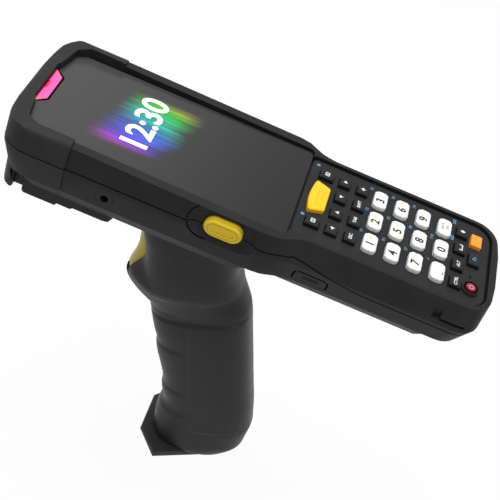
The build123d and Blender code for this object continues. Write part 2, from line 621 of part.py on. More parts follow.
with BuildPart() as rear_housing:
    add(casing_block.part)
    add(lower_zone, mode=Mode.INTERSECT)
    add(bumper_seat.part, mode=Mode.SUBTRACT)
    add(rear_hollow.part, mode=Mode.SUBTRACT)
    add(block((-30.2, 30.2), (BAY_TAIL_Y - 4, BAY_HEAD_Y + 2), (BAY_ROOF - 1.2, BAY_ROOF)))
    add(block((-33.5, 33.5), (BAY_HEAD_Y, BAY_HEAD_Y + 2), (FLOOR - 0.5, BAY_ROOF)))
    add(block((-BAY_HALF, BAY_HALF), (BAY_TAIL_Y, BAY_HEAD_Y), (BASE - 1, FLOOR + 1)), mode=Mode.SUBTRACT)
    for x in mirrored(HINGE_X):
        half = HINGE_LONG / 2 + 0.4
        add(block((x - half, x + half), (HINGE_Y, BAY_TAIL_Y + 1), (BASE - 1, -17.9)), mode=Mode.SUBTRACT)
        add(cross_bar(HINGE_Y, HINGE_Z - GLASS_Z, HINGE_R + 0.2, x - half, x + half), mode=Mode.SUBTRACT)
    for x, y in case_screws:
        add(screw_cut(x, y, False), mode=Mode.SUBTRACT)
    for cutter in button_cuts:
        add(cutter, mode=Mode.SUBTRACT)
    for hand in (-1, 1):
        add(latch_pocket(hand), mode=Mode.SUBTRACT)
    add(cross_bar(JACK_Y, JACK_Z - GLASS_Z, JACK_RING + 0.1, -CUT, -JACK_BACK_X + 1, JACK_SIDES),
        mode=Mode.SUBTRACT)
    add(window_slot, mode=Mode.SUBTRACT)
    add(block((WINDOW_EDGE - WINDOW_HALF, WINDOW_HALF - WINDOW_EDGE), (100, FAR_Y),
              (WINDOW_LOW + WINDOW_EDGE, WINDOW_HIGH - WINDOW_EDGE)), mode=Mode.SUBTRACT)

export("rear_housing", rear_housing)

# ------------------------------------------------------------------ seal between the housings

with BuildPart() as housing_seal:
    add(seal_block.part)
    add(seal_zone, mode=Mode.INTERSECT)
    add(bumper_seat.part, mode=Mode.SUBTRACT)
    add(core_block.part, mode=Mode.SUBTRACT)
    for x, y in case_screws:
        add(upright_rod(x, y, SCREW_SHANK + 0.2, -20, 0), mode=Mode.SUBTRACT)
    for cutter in button_cuts:
        add(cutter, mode=Mode.SUBTRACT)

export("housing_seal", housing_seal)

# ------------------------------------------------------------------ head bumpers

with BuildPart() as head_bumper_upper:
    add(bumper_block.part)
    add(bumper_upper_zone, mode=Mode.INTERSECT)
    add(bumper_front_zone, mode=Mode.INTERSECT)
    add(block((-CUT, CUT), (BUMPER_Y, FAR_Y), (-10, 0)) & seat_block.part, mode=Mode.SUBTRACT)
    extrude(opening_outline(GLASS_Z - GLASS_THICK, FIT), amount=20, mode=Mode.SUBTRACT)

export("head_bumper_upper", head_bumper_upper)

with BuildPart() as head_bumper_lower:
    add(bumper_block.part)
    add(bumper_lower_zone, mode=Mode.INTERSECT)
    add(seat_block.part, mode=Mode.SUBTRACT)
    add(block(*BUMPER_WINDOW), mode=Mode.SUBTRACT)

export("head_bumper_lower", head_bumper_lower)

# ------------------------------------------------------------------ glass, lens and display

with BuildPart() as display_glass:
    extrude(opening_outline(GLASS_Z - GLASS_THICK), amount=GLASS_THICK)
    extrude(lens_outline(GLASS_Z - 5, 0.1), amount=10, mode=Mode.SUBTRACT)
    lip = display_glass.faces().sort_by(Axis.Z)[-1].edges().filter_by(lambda e: e.length > 20)
    chamfer(lip, 0.3)

export("display_glass", display_glass)

with BuildPart() as status_lens:
    extrude(lens_outline(GLASS_Z - GLASS_THICK), amount=GLASS_THICK + LENS_PROUD)
    chamfer(status_lens.faces().sort_by(Axis.Z)[-1].edges(), 0.25)

export("status_lens", status_lens)

with BuildPart() as display_module:
    add(block(*DISPLAY_MODULE))

export("display_module", display_module)

# ------------------------------------------------------------------ keys and their panel

SMALL_COLUMNS = [(i - 1.5) * SMALL_PITCH for i in range(4)]
KEYS = {
    "key_macro_left": ("top", -16.7, TOP_ROW_Y),
    "key_scan": ("scan", 0.0, TOP_ROW_Y),
    "key_macro_right": ("top", 16.7, TOP_ROW_Y),
    "key_power": ("power", -16.7, POWER_ROW_Y),
    "key_fn": ("fn", 1.8, POWER_ROW_Y),
    "key_alpha": ("fn", 14.5, POWER_ROW_Y),
}
for row_y, row in (
    (ARROW_ROW_Y, ("left", "up", "down", "right")),
    (ESC_ROW_Y, ("escape", "tab", "shift", "back")),
    (CONTROL_ROW_Y, ("control", "alt", "space", "star")),
):
    for column_x, label in zip(SMALL_COLUMNS, row):
        KEYS[f"key_{label}"] = ("small", column_x, row_y)
for i, label in enumerate(("1", "2", "3", "4", "5", "6", "7", "8", "9", "point", "0", "delete")):
    KEYS[f"key_{label}"] = ("number", (i % 3 - 1) * COLUMN_PITCH, NUMBER_ROW_Y - (i // 3) * ROW_PITCH)


def key_outline(kind, x, y, height, grow=0.0):
    """Plan of one key, grown outwards for the well that it stands in."""
    with BuildSketch(Plane((x, y, GLASS_Z + height))) as plan:
        if kind == "power":
            RegularPolygon(POWER_RADIUS, POWER_SIDES)
        elif kind == "scan":
            head_half, tail_half, half_long = SCAN_KEY_HEAD / 2, SCAN_KEY_TAIL / 2, SCAN_KEY_LONG / 2
            with BuildLine():
                bow = ThreePointArc((-head_half, half_long), (0, half_long + SCAN_KEY_BOW), (head_half, half_long))
                Polyline(bow @ 1, (tail_half, -half_long), (-tail_half, -half_long), bow @ 0)
            make_face()
            chamfer(plan.vertices(), SCAN_KEY_CORNER)
        elif kind == "number":
            wide, half_long = KEY_SIZES[kind][0] / 2, KEY_SIZES[kind][1] / 2
            inner, crown = wide - NUMBER_KEY_CORNER, half_long + NUMBER_KEY_CROWN
            right = [(inner, crown), (wide, half_long - NUMBER_KEY_CORNER)]
            right += [(x, -y) for x, y in reversed(right)]
            with BuildLine():
                Polyline(*right, *[(-x, y) for x, y in reversed(right)], close=True)
            make_face()
        else:
            Rectangle(*KEY_SIZES[kind])
        if grow:
            offset(amount=grow, kind=Kind.INTERSECTION)
    return plan.sketch


def key_cap(kind, x, y):
    """A key: its cap, the flange that keeps it under the panel and the plunger over its dome."""
    with BuildPart() as key:
        cap = key_outline(kind, x, y, FLANGE_TOP)
        extrude(cap, amount=KEY_TOP - FLANGE_TOP)
        chamfer(key.faces().sort_by(Axis.Z)[-1].edges(), KEY_BEVEL)
        box = cap.bounding_box()
        with BuildSketch(Plane((box.center().X, box.center().Y, GLASS_Z + FLANGE_TOP))):
            Rectangle(box.size.X + 2 * FLANGE_OVER, box.size.Y + 2 * FLANGE_OVER)
        extrude(amount=-FLANGE_THICK)
        with BuildSketch(Plane((x, y, GLASS_Z + FLANGE_END))):
            Rectangle(PLUNGER, PLUNGER)
        extrude(amount=PLUNGER_END - FLANGE_END)
    return key


for name, (kind, x, y) in KEYS.items():
    export(name, key_cap(kind, x, y))

with BuildPart() as keypad_panel:
    extrude(panel_outline(GLASS_Z - PANEL_THICK), amount=PANEL_THICK)
    chamfer(keypad_panel.faces().sort_by(Axis.Z)[-1].edges(), 0.3)
    with BuildSketch(Plane((-16.7, POWER_ROW_Y, GLASS_Z))):
        RegularPolygon(POWER_RADIUS + POWER_COLLAR, POWER_SIDES)
    extrude(amount=POWER_COLLAR_TALL)
    for kind, x, y in KEYS.values():
        extrude(key_outline(kind, x, y, -5, KEY_GAP), amount=10, mode=Mode.SUBTRACT)
    add(upright_rod(*MICROPHONE, -5, 5), mode=Mode.SUBTRACT)

export("keypad_panel", keypad_panel)

with BuildPart() as keypad_mat:
    add(block(*KEYPAD_MAT))
    for kind, x, y in KEYS.values():
        with BuildSketch(Plane((x, y, GLASS_Z + MAT_TOP))):
            RegularPolygon(DOME_R, DOME_SIDES)
        extrude(amount=DOME_RISE, taper=25)
    for x in mirrored(CASE_SCREWS[-1][0]):
        add(upright_rod(x, CASE_SCREWS[-1][1], BOSS + 0.3, -10, 0), mode=Mode.SUBTRACT)

export("keypad_mat", keypad_mat)

# ------------------------------------------------------------------ board, scan engine and switches

with BuildPart() as main_board:
    add(block(*BOARD_HEAD))
    add(block(*BOARD_TAIL))
    for can in (*SHIELD_CANS, MEMORY_CAN):
        add(block(*can))
    for x in mirrored(CASE_SCREWS[-1][0]):
        add(upright_rod(x, CASE_SCREWS[-1][1], BOSS + 0.3, -10, 0), mode=Mode.SUBTRACT)

export("main_board", main_board)

with BuildPart() as scan_engine:
    add(block(*ENGINE_CASE))
    for x, radius in ENGINE_BARRELS:
        face = Plane(origin=(x, ENGINE_FACE_Y, GLASS_Z + ENGINE_BARRELS_H), z_dir=(0, 1, 0))
        with BuildSketch(face):
            RegularPolygon(radius, SCREW_SIDES)
        extrude(amount=BARREL_LONG)
    add(block(*ENGINE_POST))

export("scan_engine", scan_engine)

with BuildPart() as scan_window:
    add(seat_block.part)
    add(block((-WINDOW_HALF, WINDOW_HALF), (100, FAR_Y), (WINDOW_LOW, WINDOW_HIGH)), mode=Mode.INTERSECT)
    add(pane_back.part, mode=Mode.SUBTRACT)

export("scan_window", scan_window)

with BuildPart() as side_switches:
    for hand in (-1, 1):
        inner, outer = sorted((hand * SWITCH_CASE_X, hand * SWITCH_TIP_X))
        add(block((inner, outer), (BUTTON_Y - SWITCH_CASE_HALF, BUTTON_Y + SWITCH_CASE_HALF),
                  (-9.4, BOARD_UNDER)))
        inner, outer = sorted((hand * SWITCH_TIP_X, hand * SWITCH_END_X))
        add(block((inner, outer), (BUTTON_Y - SWITCH_TIP_HALF, BUTTON_Y + SWITCH_TIP_HALF), (-9.0, -7.9)))

export("side_switches", side_switches)

# ------------------------------------------------------------------ side buttons


def side_button(hand):
    """A side button: a pill with a slot in its face and a flange behind the casing wall."""
    with BuildPart() as button:
        extrude(pill(side_plane(BUTTON_ROOT_X, BUTTON_Y, BUTTON_Z, hand), BUTTON_LONG, BUTTON_TALL),
                amount=BUTTON_FACE_X - BUTTON_ROOT_X)
        face = button.faces().sort_by(Axis.X)[-1 if hand > 0 else 0]
        chamfer(face.edges(), BUTTON_BEVEL)
        slot = pill(side_plane(BUTTON_FACE_X - BUTTON_SLOT_DEEP, BUTTON_Y, BUTTON_Z, hand), *BUTTON_SLOT)
        extrude(slot, amount=1, mode=Mode.SUBTRACT)
        flange_x = BUTTON_ROOT_X - 0.6
        low, high = sorted((hand * flange_x, hand * (flange_x + BUTTON_FLANGE_THICK)))
        add(block((low, high), (BUTTON_Y - BUTTON_FLANGE_HALF, BUTTON_Y + BUTTON_FLANGE_HALF), BUTTON_FLANGE_H))
    return button


export("side_button_left", side_button(-1))
export("side_button_right", side_button(1))

# ------------------------------------------------------------------ headset socket

with BuildPart() as audio_jack:
    add(cross_bar(JACK_Y, JACK_Z - GLASS_Z, JACK_RING, -JACK_FACE_X, -JACK_BACK_X, JACK_SIDES))
    add(block((-32.5, -JACK_BACK_X), (JACK_Y - 2.6, JACK_Y + 2.6), (-14.0, BOARD_UNDER)))
    add(cross_rod(JACK_Y, JACK_Z, JACK_BORE, -CUT, -JACK_FACE_X + JACK_DEPTH), mode=Mode.SUBTRACT)

export("audio_jack", audio_jack)

# ------------------------------------------------------------------ battery pack, cover and latches

with BuildPart() as battery_pack:
    add(block((-PACK_HALF, PACK_HALF), (PACK_TAIL_Y, PACK_HEAD_Y), (PACK_BASE, PACK_TOP)))
    chamfer(battery_pack.edges().filter_by(Axis.Y), 1.0)

export("battery_pack", battery_pack)


def cover_outline(size, height):
    """Plan of the battery cover: size is its width, head end and tail end."""
    width, head, tail = size
    with BuildSketch(Plane((0, (head + tail) / 2, GLASS_Z + height))) as plan:
        Rectangle(width, head - tail)
        chamfer(plan.vertices(), COVER_CORNER)
    return plan.sketch


with BuildPart() as battery_cover:
    cover_top = BASE - COVER_DROP
    loft(sections=[cover_outline(COVER_TOP, cover_top), cover_outline(COVER_BASE, cover_top - COVER_DEEP)],
         ruled=True)
    chamfer(battery_cover.faces().sort_by(Axis.Z)[0].edges(), 0.8)
    add(block((-PACK_HALF - 0.1, PACK_HALF + 0.1), (PACK_TAIL_Y - 0.1, PACK_HEAD_Y + 0.1), (PACK_BASE, 0)),
        mode=Mode.SUBTRACT)
    for x in mirrored(HINGE_X):
        half = HINGE_LONG / 2
        add(block((x - half, x + half), (HINGE_Y, -71.9), (-20.1, -18.5)))
        add(block((x - half, x + half), (-73.2, -71.9), (cover_top - 1, -18.5)))
        add(cross_bar(HINGE_Y, HINGE_Z - GLASS_Z, HINGE_R, x - half, x + half))

export("battery_cover", battery_cover)


def side_latch(hand):
    """A battery latch: an arched face flush with the casing and a flange behind its skin."""
    with BuildPart() as latch:
        extrude(latch_outline(LATCH_ROOT_X, hand), amount=8)
        add(casing_block.part, mode=Mode.INTERSECT)
        add(latch_flange(LATCH_ROOT_X, 0.8, 0.0, hand))
    return latch


export("latch_left", side_latch(-1))
export("latch_right", side_latch(1))

# ------------------------------------------------------------------ cradle

with BuildPart() as neck_flare:
    add(walled([oval_ring(*level) for level in NECK_FLARE]))

with BuildPart() as plate_solid:
    add(walled([plate_ring(*plate) for plate in CRADLE_PLATE]))

with BuildPart() as cradle:
    with BuildSketch(Plane.XY.offset(GLASS_Z + BLOCK_UNDER - 1)):
        with Locations((0, (BLOCK_TAIL_Y + BLOCK_HEAD_Y) / 2)):
            RectangleRounded(2 * BLOCK_HALF, BLOCK_HEAD_Y - BLOCK_TAIL_Y, BLOCK_CORNER)
    extrude(amount=BASE - BLOCK_UNDER + 1)
    add(plate_solid.part)
    add(side_zone(CRADLE_SIDE_VIEW), mode=Mode.INTERSECT)
    add(neck_flare.part)
    for hand in (-1, 1):
        low, high = sorted(hand * x for x in LUG_NOTCH_X)
        add(block((low, high), *LUG_NOTCH), mode=Mode.SUBTRACT)
    add(side_zone(LUG_HOLE), mode=Mode.SUBTRACT)
    with BuildSketch(Plane.XY.offset(GLASS_Z + BLOCK_UNDER - 1)):
        with Locations((0, POCKET_MIDDLE_Y)):
            with GridLocations(*POCKET_PITCH, 3, 2):
                Rectangle(*POCKET_SIZE)
    extrude(amount=POCKET_ROOF - BLOCK_UNDER + 1, mode=Mode.SUBTRACT)

export("cradle", cradle)

# ------------------------------------------------------------------ pistol grip


def hollow_section(height, front, back):
    """One level of the room inside the grip: a rectangle with cut corners."""
    with BuildSketch(Plane((0, (front + back) / 2, GLASS_Z + height))) as plan:
        Rectangle(2 * HOLLOW_HALF, front - back)
        chamfer(plan.vertices(), HOLLOW_CORNER)
    return plan.sketch


def grip_inset(hand):
    """The shallow inset panel in one side of the handle."""
    with BuildPart() as panel:
        with BuildSketch(Plane.YZ.offset(hand * GRIP_INSET_X)):
            with BuildLine():
                Polyline(*[(y, GLASS_Z + h) for y, h in GRIP_INSET], close=True)
            make_face()
        extrude(amount=hand * 5)
    return panel.part


with BuildPart() as grip_solid:
    add(walled([oval_ring(*level) for level in GRIP_LEVELS]))
    for hand in (-1, 1):
        add(grip_inset(hand), mode=Mode.SUBTRACT)

with BuildPart() as grip_core:
    loft(sections=[hollow_section(*section) for section in GRIP_HOLLOW], ruled=True)

with BuildPart() as grip_body:
    add(grip_solid.part)
    add(grip_core.part, mode=Mode.SUBTRACT)
    for hand in (-1, 1):
        low, high = sorted((hand * (TRIGGER_HALF + TRIGGER_GAP), hand * BOSS_REACH))
        add(cross_bar(PIN_Y, PIN_Z - GLASS_Z, HUB_R, low, high, HUB_SIDES))
        low, high = sorted((hand * SWITCH_LAND_X, hand * BOSS_REACH))
        add(block((low, high), *SWITCH_LAND))
    for y, h in GRIP_SCREWS:
        add(cross_bar(y, h, SCREW_BOSS, -BOSS_REACH, BOSS_REACH))
    add(block((-TRIGGER_HALF - TRIGGER_GAP, TRIGGER_HALF + TRIGGER_GAP), (TRIGGER_MOUTH_BACK, 80.0),
              (TRIGGER_MOUTH, -31.0)), mode=Mode.SUBTRACT)
    add(cross_rod(PIN_Y, PIN_Z, PIN_R, -PIN_HALF, PIN_HALF), mode=Mode.SUBTRACT)
    for y, h in GRIP_SCREWS:
        add(cross_bar(y, h, SCREW_SHANK + 0.1, -SCREW_LONG / 2 - 0.3, 20.0), mode=Mode.SUBTRACT)
        add(cross_bar(y, h, SCREW_HEAD + 0.15, SCREW_LONG / 2 - SCREW_HEAD_TALL - 0.1, 20.0),
            mode=Mode.SUBTRACT)

for side, low, high in (("left", -CUT, 0.0), ("right", 0.0, CUT)):
    with BuildPart() as grip_shell:
        add(grip_body.part)
        add(block((low, high), (-CUT, 80.0), (-190.0, 0.0)), mode=Mode.INTERSECT)
    export(f"grip_shell_{side}", grip_shell)

# ------------------------------------------------------------------ trigger

with BuildPart() as trigger:
    add(walled([oval_ring(*level, TRIGGER_FACETS) for level in TRIGGER_LEVELS]))
    add(cross_bar(PIN_Y, PIN_Z - GLASS_Z, HUB_R, -TRIGGER_HALF, TRIGGER_HALF, HUB_SIDES))
    add(block(*HUB_SLOT), mode=Mode.SUBTRACT)
    add(cross_rod(PIN_Y, PIN_Z, PIN_R + PIN_FIT, -20.0, 20.0), mode=Mode.SUBTRACT)

export("trigger", trigger)

with BuildPart() as trigger_pin:
    add(cross_rod(PIN_Y, PIN_Z, PIN_R, -PIN_HALF, PIN_HALF))

export("trigger_pin", trigger_pin)

# The return spring is a strip with one turn round the pin, in the hub's slot. Its short end bears
# on the slot and its long end reaches back into the grip.
with BuildPart() as trigger_spring:
    with BuildSketch(Plane(origin=(-SPRING_HALF, PIN_Y, PIN_Z), x_dir=(0, 1, 0), z_dir=(1, 0, 0))):
        RegularPolygon(SPRING_R + SPRING_STRIP / 2, HUB_SIDES)
        RegularPolygon(SPRING_R - SPRING_STRIP / 2, HUB_SIDES, mode=Mode.SUBTRACT)
        with Locations((-SPRING_LONG_LEG / 2, -SPRING_R)):
            Rectangle(SPRING_LONG_LEG, SPRING_STRIP)
        with Locations((SPRING_SHORT_LEG / 2, SPRING_R)):
            Rectangle(SPRING_SHORT_LEG, SPRING_STRIP)
    extrude(amount=2 * SPRING_HALF)

export("trigger_spring", trigger_spring)

with BuildPart() as trigger_switch:
    add(block(*SWITCH_BODY))
    add(block(*SWITCH_PLUNGER))

export("trigger_switch", trigger_switch)

# ------------------------------------------------------------------ foot

with BuildPart() as grip_foot:
    with BuildSketch():
        with BuildLine():
            Polyline(*FOOT_POINTS, *[(-x, y) for x, y in reversed(FOOT_POINTS)], close=True)
        make_face()
    extrude(amount=FOOT_TOP_Z)
    chamfer(grip_foot.faces().sort_by(Axis.Z)[-1].edges(), 0.8)

export("grip_foot", grip_foot)

# ------------------------------------------------------------------ screws


def screw(plane):
    """One screw, its head's outer face on the plane and its shank running along the plane's Z."""
    with BuildPart() as one:
        with BuildSketch(plane):
            RegularPolygon(SCREW_HEAD, SCREW_SIDES)
        extrude(amount=SCREW_HEAD_TALL)
        with BuildSketch(plane):
            RegularPolygon(SCREW_SHANK, SCREW_SIDES)
        extrude(amount=SCREW_LONG)
    return one.part


with BuildPart() as case_screw_set:
    for x, y in case_screws:
        add(screw(Plane((x, y, GLASS_Z + BASE + 0.05))))
    for y, h in GRIP_SCREWS:
        add(screw(Plane(origin=(SCREW_LONG / 2, y, GLASS_Z + h), x_dir=(0, 1, 0), z_dir=(-1, 0, 0))))

export("case_screws", case_screw_set)
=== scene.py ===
import math

import bpy
from mathutils import Matrix, Vector
from mathutils.bvhtree import BVHTree


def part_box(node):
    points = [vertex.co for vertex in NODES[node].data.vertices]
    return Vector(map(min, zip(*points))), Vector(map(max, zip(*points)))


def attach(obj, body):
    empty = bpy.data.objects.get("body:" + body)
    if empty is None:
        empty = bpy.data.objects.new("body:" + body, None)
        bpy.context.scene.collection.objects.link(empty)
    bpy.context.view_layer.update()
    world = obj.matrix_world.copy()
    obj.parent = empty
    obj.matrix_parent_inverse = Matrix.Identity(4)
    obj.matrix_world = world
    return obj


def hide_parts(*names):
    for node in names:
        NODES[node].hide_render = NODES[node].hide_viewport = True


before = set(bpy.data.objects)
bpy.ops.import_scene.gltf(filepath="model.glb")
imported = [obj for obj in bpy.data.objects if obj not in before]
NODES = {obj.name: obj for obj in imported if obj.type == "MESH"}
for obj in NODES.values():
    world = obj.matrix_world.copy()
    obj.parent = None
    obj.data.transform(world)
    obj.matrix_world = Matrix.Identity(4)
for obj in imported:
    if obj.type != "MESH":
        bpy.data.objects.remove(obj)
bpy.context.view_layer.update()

# A portable data terminal in a cradle on a pistol grip. Metres; X runs across to the user's right,
# Y along the terminal towards its head and Z up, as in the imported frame. Heights "under the glass" are
# negative and count from the top of the display glass.

MM = 0.001
GLASS_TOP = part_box("display_glass")[1].z
GLASS_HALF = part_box("display_glass")[1].x
KEYS = sorted(name for name in NODES if name.startswith("key_"))
WHITE_KEYS = [f"key_{label}" for label in (*"0123456789", "point", "delete")]
SIDES = (("left", -1), ("right", 1))


# ------------------------------------------------------------------ shader nodes and maths


class Value:
    """A node's output that Python arithmetic works on."""

    def __init__(self, nodes, socket):
        self.nodes = nodes
        self.socket = socket

    def maths(self, operation, *others):
        return self.nodes.node("ShaderNodeMath", {"operation": operation}, self, *others)

    def __add__(self, other):
        return self.maths("ADD", other)

    def __sub__(self, other):
        return self.maths("SUBTRACT", other)

    def __mul__(self, other):
        return self.maths("MULTIPLY", other)

    def __truediv__(self, other):
        return self.maths("DIVIDE", other)

    def __rsub__(self, other):
        return (self * -1.0) + other

    __radd__ = __add__
    __rmul__ = __mul__

    def size(self):
        """The value without its sign."""
        return self.maths("ABSOLUTE")

    def step(self, low, high):
        """0 at low and beyond, 1 at high and beyond, and smooth between."""
        settings = {"interpolation_type": "SMOOTHSTEP"}
        return self.nodes.node("ShaderNodeMapRange", settings, self, low, high, 0.0, 1.0)


class Nodes:
    """A node tree. Its nodes come from node(); colours mix with blend()."""

    def __init__(self, tree):
        self.tree = tree

    def node(self, kind, settings, *values, out=0, **named):
        """A node with its settings, its sockets' values or links, and the output that is wanted."""
        made = self.tree.nodes.new(kind)
        for key, setting in settings.items():
            if key == "stops":
                self.fill_ramp(made.color_ramp, setting)
            else:
                setattr(made, key, setting)
        sockets = [(place, value) for place, value in enumerate(values) if value is not None]
        sockets += [(key.replace("_", " "), value) for key, value in named.items()]
        for key, value in sockets:
            self.feed(made.inputs[key], value)
        return Value(self, made.outputs[out])

    def fill_ramp(self, ramp, stops):
        while len(ramp.elements) < len(stops):
            ramp.elements.new(1.0)
        for element, (position, colour) in zip(ramp.elements, stops):
            element.position = position
            element.color = (*colour, 1.0)

    def feed(self, socket, value):
        if isinstance(value, Value):
            self.tree.links.new(value.socket, socket)
        elif isinstance(value, tuple) and len(value) == 3 and socket.type == "RGBA":
            socket.default_value = (*value, 1.0)
        else:
            socket.default_value = value

    def blend(self, share, first, second):
        """First colour where share is 0 and second where it is 1."""
        number_sockets = [None] * 5
        settings = {"data_type": "RGBA"}
        return self.node("ShaderNodeMix", settings, share, *number_sockets, first, second, out=2)


class Finish(Nodes):
    """One procedural material."""

    def __init__(self, name):
        self.material = bpy.data.materials.new(name)
        self.material.use_nodes = True
        super().__init__(self.material.node_tree)
        self.shader = self.tree.nodes["Principled BSDF"]
        self.place = self.node("ShaderNodeTexCoord", {}, out="Object")

    def set(self, **inputs):
        for key, value in inputs.items():
            self.feed(self.shader.inputs[key.replace("_", " ")], value)
        return self

    def axis(self, name):
        """The place along X, Y or Z, in metres."""
        return self.node("ShaderNodeSeparateXYZ", {}, self.place, out=name)

    def noise(self, size, detail=2.0, stretch=(1.0, 1.0, 1.0)):
        """Cloudy noise whose lumps are about size metres across."""
        place = self.node("ShaderNodeMapping", {}, self.place, Scale=stretch)
        return self.node("ShaderNodeTexNoise", {}, Vector=place, Scale=1.0 / size, Detail=detail)

    def relief(self, height, depth):
        """Bumps that stand as high as height times depth."""
        return self.set(Normal=self.node("ShaderNodeBump", {}, Strength=1.0, Distance=depth, Height=height))


def srgb(red, green, blue):
    """A screen colour of 0 to 255 as the linear colour that shaders use."""
    def linear(part):
        part = part / 255
        return part / 12.92 if part <= 0.04045 else ((part + 0.055) / 1.055) ** 2.4
    return (linear(red), linear(green), linear(blue))


# ------------------------------------------------------------------ finishes

SCREEN_HUES = (
    (0.0, srgb(205, 60, 190)), (0.22, srgb(95, 70, 205)), (0.42, srgb(60, 110, 210)),
    (0.6, srgb(50, 195, 170)), (0.8, srgb(60, 185, 60)), (1.0, srgb(205, 170, 60)),
)
# The coloured glow on the screen: where its middle is, and how far it reaches from there.
GLOW_X, GLOW_Y, GLOW_HALF_X, GLOW_HALF_Y = 1.0 * MM, 73.0 * MM, 21.5 * MM, 20.0 * MM

# The grip's rings and its side panels slope down forwards. The panel's front edge leans back below its top.
GRIP_TILT = 0.36
PANEL_TOP, PANEL_FOOT, PANEL_CORNER = -82.0, -167.0, 5.0
PANEL_FRONT, PANEL_FRONT_HEIGHT, PANEL_LEAN = 26.2, -79.3, 0.295
PANEL_RISE, HUB_RISE, GRAIN_RISE = 0.16, 0.12, 0.006


def panel_front(height):
    """How far forward the grip's side panel reaches at a height under the glass, both in millimetres."""
    return (height - PANEL_FRONT_HEIGHT) * PANEL_LEAN + PANEL_FRONT


def moulded(name, colour, roughness, shine=0.25, grain_size=0.35 * MM, grain_depth=0.012 * MM, wear=0.25):
    """Moulded plastic: a base colour with faint clouding, a spark-eroded grain and uneven gloss."""
    finish = Finish(name)
    clouds = finish.noise(14 * MM, 3.0).step(0.35, 0.7)
    light = tuple(part * (1 + wear) for part in colour)
    finish.set(Base_Color=finish.blend(clouds, colour, light), Specular_IOR_Level=shine)
    finish.set(Roughness=finish.noise(3 * MM) * 0.12 + (roughness - 0.06))
    return finish.relief(finish.noise(grain_size), grain_depth)


def glass_finish():
    """The dark touch glass, with a painted reflection that greys it towards the head, and a streaked glow of
    colours behind it.
    """
    finish = Finish("touch_glass")
    across, along = finish.axis("X"), finish.axis("Y")
    # Painted reflection: the glass goes from dark grey at the tail to a lighter grey at the head.
    base = finish.blend(along.step(-10 * MM, 120 * MM), srgb(32, 32, 32), srgb(66, 66, 66))
    border = across.size().step(GLASS_HALF - 0.9 * MM, GLASS_HALF - 0.5 * MM)
    base = finish.blend(border, base, srgb(6, 6, 6))
    glow_x, glow_y = (across - GLOW_X) / GLOW_HALF_X, (along - GLOW_Y + across * 0.25) / GLOW_HALF_Y
    ragged = glow_y.size() + finish.noise(3.0 * MM, 3.0, (1.0, 0.03, 1.0)) * 0.5
    glow = ragged.step(1.2, 0.5) * glow_x.size().step(1.0, 0.72) * 0.95
    streaks = finish.noise(1.9 * MM, 3.0, (1.0, 0.06, 1.0)).step(0.3, 0.7) * 0.6 + 0.4
    hue = finish.node("ShaderNodeValToRGB", {"stops": SCREEN_HUES}, glow_x * 0.46 - glow_y * 0.1 + 0.5)
    colour = finish.blend(glow * streaks, base, hue)
    return finish.set(Base_Color=colour, Roughness=0.2, Specular_IOR_Level=0.2)


def grip_finish():
    """The grip's plastic: painted shade darkening the waist under the hub, a shallow panel on each side and a
    hub above them.
    """
    # Painted shade: a darker black for the band under the hub, where the hub's shadow falls.
    black, painted_hub_shade = srgb(30, 30, 31), srgb(17, 17, 18)
    finish = moulded("grip_plastic_black", black, 0.42, 0.2)
    along, up = finish.axis("Y") / MM, (finish.axis("Z") - GLASS_TOP) / MM
    slant = up + along * GRIP_TILT
    ahead = along - panel_front(up)
    # Painted shade: the band under the hub, between the hub's lower edge and the side panel's top, is
    # darkened.
    hub_shade_band = slant.step(-60.0, -66.0) * slant.step(-82.6, -81.6) * ahead.step(4.8, -4.2)
    finish.set(Base_Color=finish.blend(hub_shade_band * 0.7, black, painted_hub_shade))
    ends = (slant - PANEL_TOP).maths("MAXIMUM", PANEL_FOOT - slant)
    panel = ends.maths("SMOOTH_MAX", ahead * 0.96, PANEL_CORNER).step(0.35, -0.35)
    hub = (up + 44.5).maths("SMOOTH_MAX", along - 41.5, 14.0).step(0.6, -0.6) * up.step(-74.0, -58.0)
    grain = finish.noise(0.25 * MM) * GRAIN_RISE
    return finish.relief(panel * PANEL_RISE + hub * HUB_RISE + grain, 1.0 * MM)


def button_finish():
    """The scan buttons' yellow plastic, with painted shade darkening the yellow on their sides, and a black
    flange behind the casing wall.
    """
    # Painted shade: the button's sides take a darker yellow than its face, as if turned away from the light.
    side, face = srgb(168, 144, 26), srgb(208, 178, 38)
    finish = moulded("button_plastic_yellow", face, 0.5, 0.15, 0.25 * MM, 0.006 * MM)
    out = finish.axis("X").size()
    yellow = finish.blend(out.step(37.5 * MM, 37.8 * MM), side, face)
    return finish.set(Base_Color=finish.blend(out.step(34.3 * MM, 33.7 * MM), yellow, srgb(10, 10, 10)))


def lens_finish():
    """Pink translucent lens over a lit red lamp."""
    finish = Finish("lens_pink")
    across, along = finish.axis("X"), finish.axis("Y")
    pink = finish.blend(across.size().step(6.5 * MM, 12.5 * MM), srgb(248, 84, 160), srgb(248, 110, 120))
    lamp = (across - 0.5 * MM).size().step(3.4 * MM, 2.4 * MM) * along.step(118.2 * MM, 118.8 * MM)
    colour = finish.blend(lamp, pink, srgb(240, 15, 75))
    return finish.set(Base_Color=colour, Roughness=0.25, Emission_Color=colour, Emission_Strength=0.25)


def painted(name, colour, roughness=0.5, glow=0.0):
    """A printed ink: flat in the small, with a slightly uneven gloss."""
    finish = Finish(name)
    speckle = finish.noise(0.4 * MM)
    dark = tuple(part * 0.9 for part in colour)
    finish.set(Base_Color=finish.blend(speckle, dark, colour), Roughness=speckle * 0.1 + (roughness - 0.05))
    if glow:
        finish.set(Emission_Color=colour, Emission_Strength=glow)
    return finish


def metal(name, colour, roughness):
    """Bare turned metal with fine brushing."""
    finish = Finish(name)
    brushing = finish.noise(0.3 * MM, 2.0, (1.0, 8.0, 1.0))
    return finish.set(Base_Color=colour, Metallic=1.0, Roughness=brushing * 0.2 + roughness)


